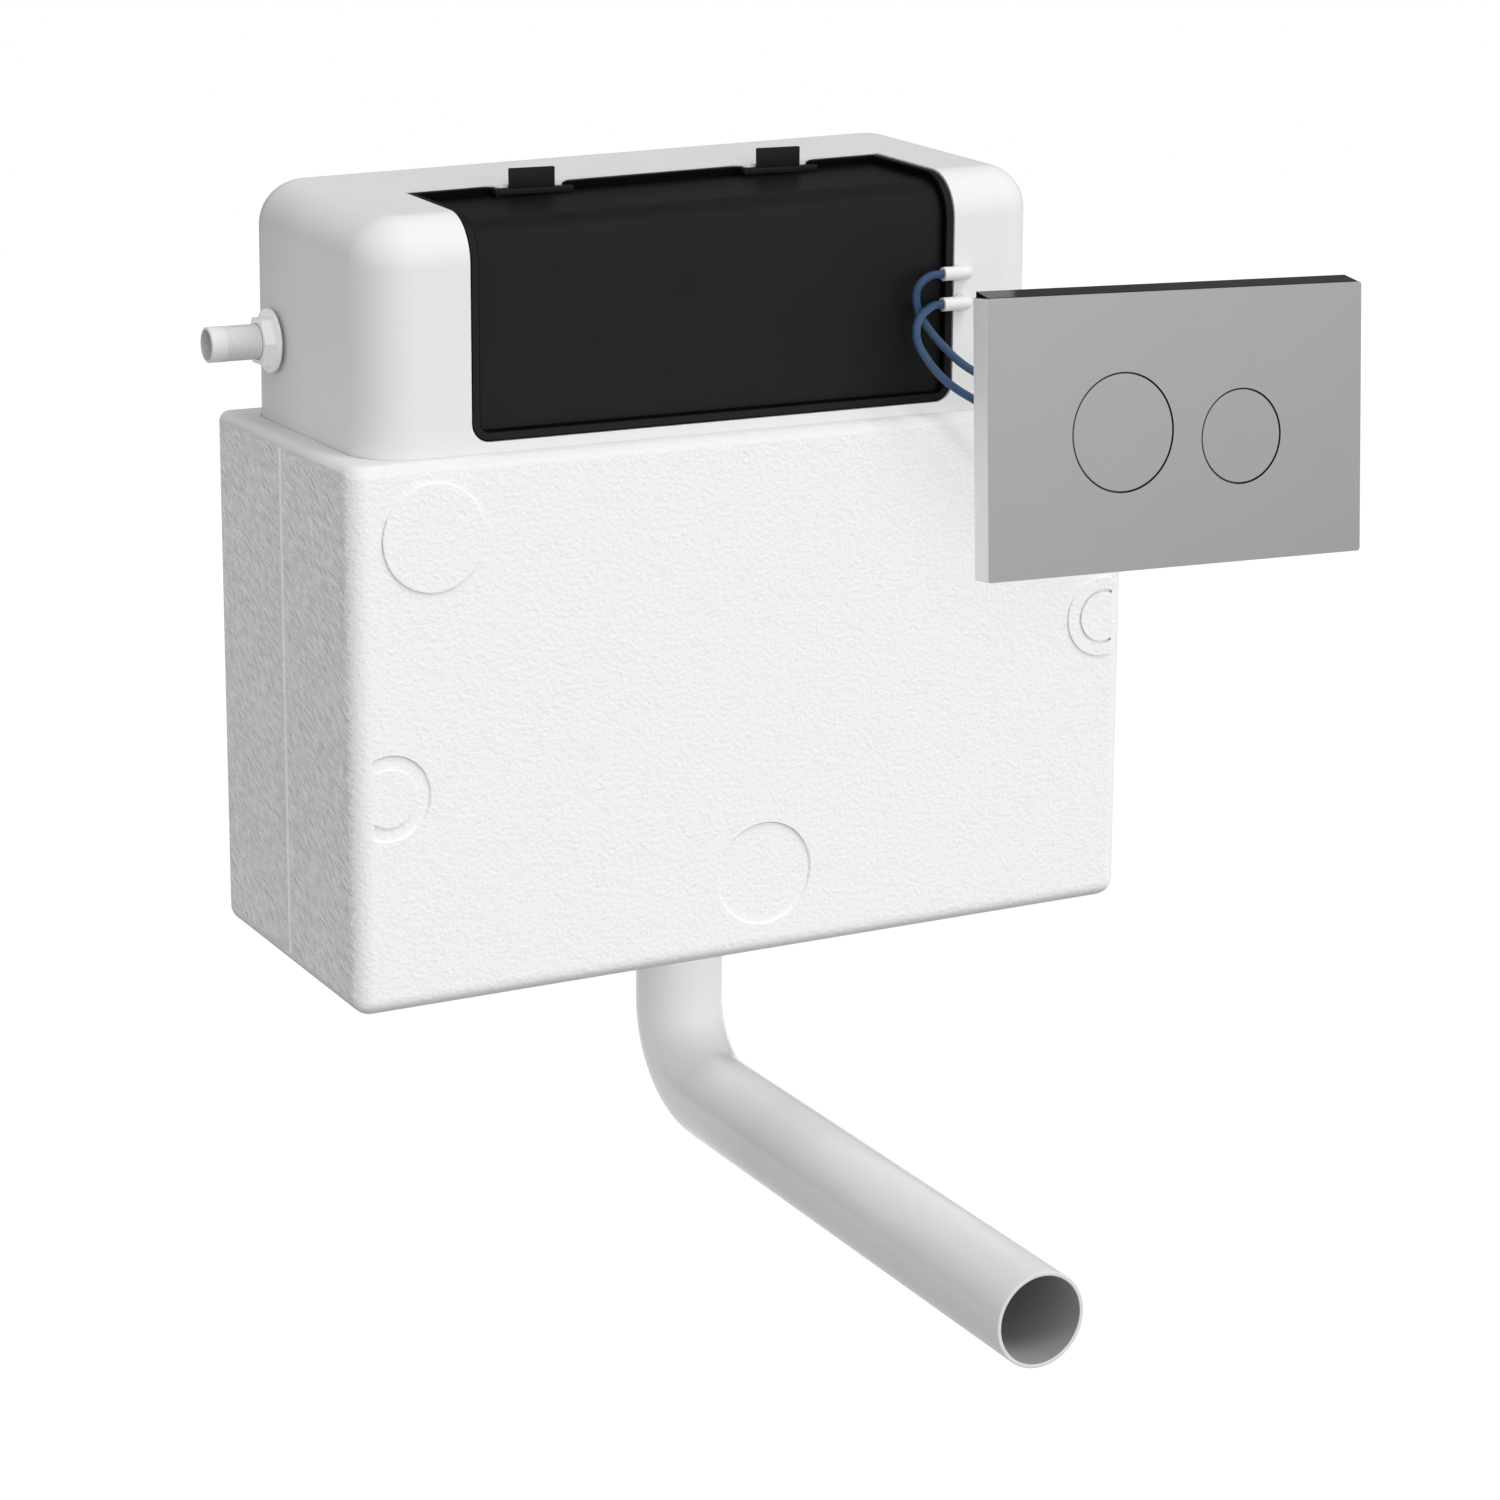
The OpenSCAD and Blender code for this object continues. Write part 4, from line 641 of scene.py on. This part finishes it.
# The flush pipe: glossy white plastic pipe of 43 mm, bent once by a right angle. Its upper
# end goes up into the valve's tail and its open end points at the toilet pan.
PIPE_R, PIPE_WALL, BEND_R, PIPE_TOP, PIPE_DROP, PIPE_REACH = 21.5, 1.9, 40.0, 6.0, 86.0, 417.0

pipe_gloss = Finish("pipe_gloss", (0.82, 0.82, 0.82), 0.2, Specular_IOR_Level=0.5)
pipe_tone = pipe_gloss.noise(40.0, 2.0)
# The pipe is painted lighter at its upright end and darker along the run, as painted light and shade.
painted_light_upright = pipe_gloss.along(1).above(-0.15, 0.1)
pipe_gloss.feed("Base Color", pipe_gloss.greys(painted_light_upright * 0.9 + pipe_tone * 0.1, 0.64, 0.95))
pipe_gloss.feed("Roughness", pipe_tone * 0.1 + 0.14)
pipe_gloss.dent(pipe_gloss.noise(25.0, 1.0), 0.0004)


def drawn_out(bm, edges, step):
    """Draws an open ring of edges out by a step in millimetres, and gives the new ring."""
    geom = bmesh.ops.extrude_edge_only(bm, edges=edges)["geom"]
    ends = [g for g in geom if isinstance(g, bmesh.types.BMVert)]
    bmesh.ops.translate(bm, vec=Vector(step) / 1000, verts=ends)
    return [g for g in geom if isinstance(g, bmesh.types.BMEdge)]


bm = bmesh.new()
ring = bmesh.ops.create_circle(bm, cap_ends=False, segments=72, radius=PIPE_R / 1000,
                               matrix=Matrix.Translation(at(0, VALVE_Y, PIPE_TOP)))
edges = list({e for v in ring["verts"] for e in v.link_edges})
edges = drawn_out(bm, edges, (0, 0, -PIPE_TOP - PIPE_DROP + BEND_R))
bent = bmesh.ops.spin(bm, geom=edges, cent=at(0, VALVE_Y - BEND_R, BEND_R - PIPE_DROP), axis=(-1, 0, 0),
                      angle=math.radians(90), steps=20)["geom_last"]
edges = [g for g in bent if isinstance(g, bmesh.types.BMEdge)]
drawn_out(bm, edges, (0, -(PIPE_REACH + VALVE_Y - BEND_R), 0))
bmesh.ops.remove_doubles(bm, verts=bm.verts, dist=TINY)
bmesh.ops.recalc_face_normals(bm, faces=bm.faces)
pipe = piece("flush_pipe_bend", bm, pipe_gloss, "shell", "flush_pipe", slot="pipe_plastic")

# The inside wall of the white pipe is painted dark grey, as painted shade.
painted_bore_shade = Finish("pipe_bore_painted_shade", (0.3, 0.3, 0.3), 0.5)
painted_bore_shade.feed("Base Color", painted_bore_shade.greys(painted_bore_shade.noise(30.0, 2.0), 0.29, 0.32))
pipe.data.materials.append(painted_bore_shade.material)
wall = pipe.modifiers.new("wall", "SOLIDIFY")
wall.thickness = PIPE_WALL / 1000
wall.offset = -1.0
wall.material_offset = 1
lip = pipe.modifiers.new("lip", "BEVEL")
lip.width = 0.0004
lip.segments = 2
lip.limit_method = "ANGLE"
lip.angle_limit = math.radians(60)


# The flush plate: a satin silver face with a shallow rim, two round buttons in close holes
# and a dark gloss strip along its top edge, which is a painted dark reflection.
# A grey rear frame with two air pumps backs it.
PLATE_W, PLATE_H, PLATE_Y, PLATE_T, PLATE_WALL = 215.0, 132.5, -213.0, 12.0, 2.0
PLATE = Vector((200.0, PLATE_Y, 247.0))
PLATE_ROLL, PLATE_LEAN = math.radians(1.4), math.radians(4.9)
# Each button: its name, its place from the plate's middle, and its radius.
BUTTONS = (("full", -32.0, 0.0, 28.0), ("half", 36.0, -5.5, 22.5))
HOLE_PLAY, CAP_T, CAP_EDGE = 0.8, 4.0, 0.45
BRIM, BRIM_START, BRIM_T = 2.0, 2.3, 1.7
STEM_R, STEM_START, STEM_L = 4.0, 3.0, 10.0
POST_IN, POST_R, POST_START = 12.0, 4.0, 1.5
POST_HOLE_R, POST_HOLE_START = 1.5, 3.0
# The strip, a painted dark reflection, lies on the plate's top edge, and its front is lower than its back.
STRIP_SHORT, STRIP_D, STRIP_H, STRIP_FALL = 3.0, 10.5, 3.0, 2.6
STRIP_Y, STRIP_UP = 6.6, 1.3
BLACK, PALE = 1, 2


def hung_askew(bm):
    """Turns a shape with the plate, which hangs a little askew and leans back."""
    turn = Matrix.Rotation(PLATE_ROLL, 3, "Y") @ Matrix.Rotation(-PLATE_LEAN, 3, "X")
    bmesh.ops.rotate(bm, cent=at(*PLATE), matrix=turn, verts=bm.verts)
    return bm


def on_face(a, b):
    """Whether an edge with these two ends lies in the plate's front face."""
    return abs(a.y - PLATE_Y / 1000) < TINY and abs(b.y - PLATE_Y / 1000) < TINY


satin = Finish("satin_silver", (0.4, 0.4, 0.41), 0.34, Metallic=0.45)
plate_aside = satin.along(0) - PLATE.x / 1000
plate_aloft = satin.along(2) - (PLATE.z - FIX_Z) / 1000
# The face is painted lighter towards its top left and darker towards its bottom right, a painted sheen.
painted_sheen = plate_aloft * 3.2 - plate_aside * 1.2 + satin.noise(35.0, 2.0) * 0.1 + 0.45
satin.feed("Base Color", satin.shades(painted_sheen, (0.31, 0.31, 0.31), (0.42, 0.42, 0.425)))
satin.feed("Roughness", satin.noise(700.0, 2.0) * 0.12 + 0.3)
satin.dent(satin.noise(2200.0, 1.0), 0.00002)
# Near-black gloss: a painted dark reflection on the plate's top, and painted shade in the button holes and
# behind the caps.
painted_black_reflection_and_shade = Finish("painted_black_reflection_and_shade", (0.006, 0.006, 0.006), 0.16, Specular_IOR_Level=0.3)
painted_black_reflection_and_shade.dent(painted_black_reflection_and_shade.noise(260.0, 2.0), 0.00008)
# Pale: a painted reflection on the plate's two end sides.
painted_pale_reflection = Finish("painted_pale_reflection", (0.9, 0.9, 0.9), 0.4)
painted_pale_reflection.feed("Base Color", painted_pale_reflection.greys(painted_pale_reflection.noise(35.0, 2.0), 0.88, 0.92))

low = (PLATE.x - PLATE_W / 2, PLATE_Y, PLATE.z - PLATE_H / 2)
high = (PLATE.x + PLATE_W / 2, PLATE_Y + PLATE_T, PLATE.z + PLATE_H / 2)
hollow = block((low[0] + PLATE_WALL, PLATE_Y + PLATE_WALL, low[2] + PLATE_WALL),
               (high[0] - PLATE_WALL, PLATE_Y + PLATE_T + 5, high[2] - PLATE_WALL))
face_plate = rounded(block(low, high), 1.5, 4, lambda a, b: abs(a.x - b.x) < TINY and abs(a.z - b.z) < TINY)
face_plate = cut(rounded(face_plate, 0.35, 2, on_face), hollow)
for word, x, z, radius in BUTTONS:
    hole = rod((PLATE.x + x, PLATE_Y - 5, PLATE.z + z), ALONG_Y, radius + HOLE_PLAY, 12, 96)
    face_plate = cut(face_plate, hole)
for x in (-1, 1):
    for z in (-1, 1):
        post_x, post_z = PLATE.x + x * (PLATE_W / 2 - POST_IN), PLATE.z + z * (PLATE_H / 2 - POST_IN)
        post = rod((post_x, PLATE_Y + POST_START, post_z), ALONG_Y, POST_R, PLATE_T - POST_START, 24)
        hole = rod((post_x, PLATE_Y + POST_HOLE_START, post_z), ALONG_Y, POST_HOLE_R, PLATE_T, 16)
        face_plate = cut(cut(face_plate, post, "UNION"), hole)

strip = bmesh.ops.create_cube(face_plate, size=1.0)["verts"]
bmesh.ops.scale(face_plate, vec=Vector((PLATE_W - STRIP_SHORT, STRIP_D, STRIP_H)) / 1000, verts=strip)
strip_place = at(PLATE.x, PLATE_Y + STRIP_Y, PLATE.z + PLATE_H / 2 + STRIP_UP)
bmesh.ops.translate(face_plate, vec=strip_place, verts=strip)
for v in strip:
    if v.co.y < (PLATE_Y + 3) / 1000 and v.co.z > at(0, 0, PLATE.z + PLATE_H / 2 + 1).z:
        v.co.z -= STRIP_FALL / 1000


def in_hole(middle):
    """Whether a face's middle, from the plate's, lies in or just round a button's hole."""
    return any(math.hypot(middle.x - x / 1000, middle.z - z / 1000) < (radius + 1.2) / 1000
               for word, x, z, radius in BUTTONS)


face_plate.normal_update()
# The top faces and the holes' walls get the near-black: painted reflection on the top, painted shade in the
# holes. The end sides get the pale painted reflection.
for face in face_plate.faces:
    middle = face.calc_center_median() - at(*PLATE)
    on_top = middle.z > (PLATE_H / 2 - 0.2) / 1000
    if on_top or in_hole(middle) and abs(face.normal.y) < 0.5:
        face.material_index = BLACK
    elif abs(face.normal.x) > 0.7 and abs(middle.x) > (PLATE_W / 2 - 1) / 1000:
        face.material_index = PALE
plate = evened(piece("plate_front", hung_askew(face_plate), satin, "shell", "plate_face", slot="satin_plate"))
plate.data.materials.append(painted_black_reflection_and_shade.material)
plate.data.materials.append(painted_pale_reflection.material)
plate_group = [plate]

for word, x, z, radius in BUTTONS:
    x, z = PLATE.x + x, PLATE.z + z
    cap = rounded(rod((x, PLATE_Y, z), ALONG_Y, radius, CAP_T, 96), CAP_EDGE, 3, on_face)
    brim = rod((x, PLATE_Y + BRIM_START, z), ALONG_Y, radius + BRIM, BRIM_T, 96)
    stem = rod((x, PLATE_Y + STEM_START, z), ALONG_Y, STEM_R, STEM_L, 32)
    disc = merged(cap, brim, stem)
    disc.normal_update()
    # All of the button behind its front face is painted near-black, as painted shade in the gap round it.
    for face in disc.faces:
        face.material_index = int(face.calc_center_median().y > (PLATE_Y + 0.5) / 1000)
    body = word + "_button"
    button = evened(piece("button_" + word, hung_askew(disc), satin, body, body, slot="satin_plate"))
    button.data.materials.append(painted_black_reflection_and_shade.material)
    plate_group.append(button)

frame_grey = Finish("frame_grey", (0.28, 0.28, 0.29), 0.5)
frame_tone = frame_grey.noise(50.0)
frame_grey.feed("Base Color", frame_grey.shades(frame_tone, (0.25, 0.25, 0.26), (0.31, 0.31, 0.32)))
frame_grey.dent(frame_grey.noise(1200.0), 0.00005)
rubber = Finish("moulded_rubber", (0.03, 0.03, 0.03), 0.6)
rubber.feed("Base Color", rubber.greys(rubber.noise(80.0), 0.025, 0.04))
rubber.dent(rubber.noise(1100.0, 3.0), 0.00006)
steel = Finish("bright_steel", (0.55, 0.55, 0.56), 0.25, Metallic=1.0)
steel.feed("Roughness", steel.noise(400.0, 3.0) * 0.25 + 0.15)
plate_group += [
    dressed("plate_frame", "plate_rear_frame", frame_grey, "shell", "grey_plastic", edge=0.0003),
    dressed("full_pump_piston", "pump_piston_full", rubber, "full_button", "rubber"),
    dressed("half_pump_piston", "pump_piston_half", rubber, "half_button", "rubber"),
    dressed("frame_screws", "plate_screws", steel, "shell", "steel")]
# The plate and what it carries throw no shadow on the jacket behind them.
for thing in plate_group:
    thing.visible_shadow = False
    thing.visible_diffuse = False


# The elbows: two white push-in fittings through the tank's front wall, with their arms
# turned towards the cover. The air tubes start at the arms' ends.
dressed("elbow_full", "elbow_upper", tank_white, "shell", "white_plastic")
dressed("elbow_half", "elbow_lower", tank_white, "shell", "white_plastic")
dressed("inner_tube_full", "inner_air_tube_full", tube_blue, "shell", "blue_tube", smooth=60)
dressed("inner_tube_half", "inner_air_tube_half", tube_blue, "shell", "blue_tube", smooth=60)


# The flush valve under the cover: moulded white and grey plastic round the outlet, with
# rubber washers, an actuator head on posts, two bellows, forked levers and their pins.
WHITE_MOULDINGS = (
    ("valve_base", "shell"), ("back_nut", "shell"), ("valve_cage", "shell"), ("actuator_head", "shell"),
    ("pipe_nut", "shell"), ("overflow_tube", "half_plunger"), ("full_lever", "full_lever"),
    ("half_lever", "half_lever"), ("full_bellows_cap", "full_cap"), ("half_bellows_cap", "half_cap"))
RUBBER_PARTS = (
    ("base_seal", "shell"), ("pipe_seal", "shell"), ("full_valve_seal", "full_plunger"),
    ("half_valve_seal", "half_plunger"), ("full_bellows", "shell"), ("half_bellows", "shell"),
    ("inlet_seal", "shell"), ("fill_diaphragm", "shell"))

for node, body in WHITE_MOULDINGS:
    dressed(node, node + "_moulding", fitting_white, body, "white_plastic")
for node, body in RUBBER_PARTS:
    dressed(node, node + "_rubber", rubber, body, "rubber", smooth=50 if "bellows" in node else 32)

valve_grey = Finish("valve_grey", (0.45, 0.46, 0.47), 0.42)
valve_tone = valve_grey.noise(60.0)
valve_grey.feed("Base Color", valve_grey.shades(valve_tone, (0.42, 0.43, 0.44), (0.48, 0.49, 0.5)))
valve_grey.dent(valve_grey.noise(1300.0), 0.00004)
dressed("full_plunger", "full_plunger_moulding", valve_grey, "full_plunger", "grey_plastic")
dressed("lever_pins", "lever_pin_steel", steel, "shell", "steel")


# The fill valve inside the tank: blue cap with a steel-pinned lever, white float that
# rides on the drop tube, and a push rod from the float to the lever.
cap_blue = Finish("cap_blue", (0.04, 0.15, 0.36), 0.35)
cap_blue.feed("Base Color", cap_blue.shades(cap_blue.noise(70.0), (0.035, 0.13, 0.32), (0.05, 0.17, 0.4)))
cap_blue.dent(cap_blue.noise(1400.0), 0.00004)
dressed("fill_valve_cap", "fill_cap_moulding", cap_blue, "shell", "blue_plastic")
dressed("fill_lever", "fill_lever_moulding", fitting_white, "fill_lever", "white_plastic")
dressed("fill_lever_pin", "fill_lever_pin_steel", steel, "shell", "steel")
dressed("fill_float", "float_moulding", fitting_white, "float", "white_plastic")
dressed("float_push_rod", "push_rod_moulding", fitting_white, "float", "white_plastic")
dressed("drop_tube", "drop_tube_moulding", fitting_white, "shell", "white_plastic")


# The studio: a pale floor well below the hanging cistern, an even white surround, and three
# soft lights: one from above, one from the front and a narrower one from the right.
FLOOR_Z, FLOOR_HALF, BACKDROP_GLOW, BACKDROP_SHARE = -0.85, 6.0, 1.13, 0.88
# Each light: its name, strength, spread in degrees, and the direction that it comes from.
LIGHTS = (("soft_key", 1.0, 24, (0.25, -0.45, 0.86)),
          ("soft_front", 0.36, 30, (-0.1, -0.98, 0.17)),
          ("soft_right", 0.36, 12, (0.58, -0.8, 0.15)))

bm = bmesh.new()
bmesh.ops.create_grid(bm, x_segments=1, y_segments=1, size=FLOOR_HALF,
                      matrix=Matrix.Translation((0, 0, FLOOR_Z)))
mesh = bpy.data.meshes.new("floor")
bm.to_mesh(mesh)
bm.free()
floor = bpy.data.objects.new("floor", mesh)
bpy.context.scene.collection.objects.link(floor)
pale = Finish("pale_floor", (0.4, 0.4, 0.4), 0.9)


def seen_rays(nodes):
    """Three values that are 1 for the rays which show the backdrop: direct, mirrored and through glass."""
    kinds = ("Camera", "Glossy", "Transmission")
    return [nodes.node("LightPath", output="Is %s Ray" % kind) for kind in kinds]


shown, mirrored, passed = seen_rays(pale)
glow = pale.node("Emission", Color=(1, 1, 1, 1), Strength=BACKDROP_GLOW)
share = (shown + mirrored + passed) * BACKDROP_SHARE
seen = pale.node("MixShader", _0=share, _1=Value(pale.shader.outputs[0]), _2=glow)
pale.tree.links.new(seen.link, pale.tree.nodes["Material Output"].inputs["Surface"])
mesh.materials.append(pale.material)

world = bpy.data.worlds.new("surround")
bpy.context.scene.world = world
world.use_nodes = True
air = Nodes(world.node_tree)
shown, mirrored, passed = seen_rays(air)
heading = air.node("TexCoord", output="Generated")
right = air.node("SeparateXYZ", output="X", Vector=heading)
behind = air.node("SeparateXYZ", output="Y", Vector=heading)
ambient = 0.75 + right * 0.08 - behind * 0.2
reflected = 0.54 - behind * 0.48
lit = shown + passed + mirrored * reflected + (1 - shown - passed - mirrored) * ambient
surround = air.node("Background", Color=(1, 1, 1, 1), Strength=lit)
air.tree.links.new(surround.link, air.tree.nodes["World Output"].inputs["Surface"])

for name, power, spread, towards in LIGHTS:
    sun = bpy.data.lights.new(name, "SUN")
    sun.energy = power
    sun.angle = math.radians(spread)
    light = bpy.data.objects.new(name, sun)
    light.visible_glossy = False
    bpy.context.scene.collection.objects.link(light)
    light.rotation_euler = Vector(towards).to_track_quat("Z", "Y").to_euler()

bpy.context.scene.view_settings.view_transform = "Standard"
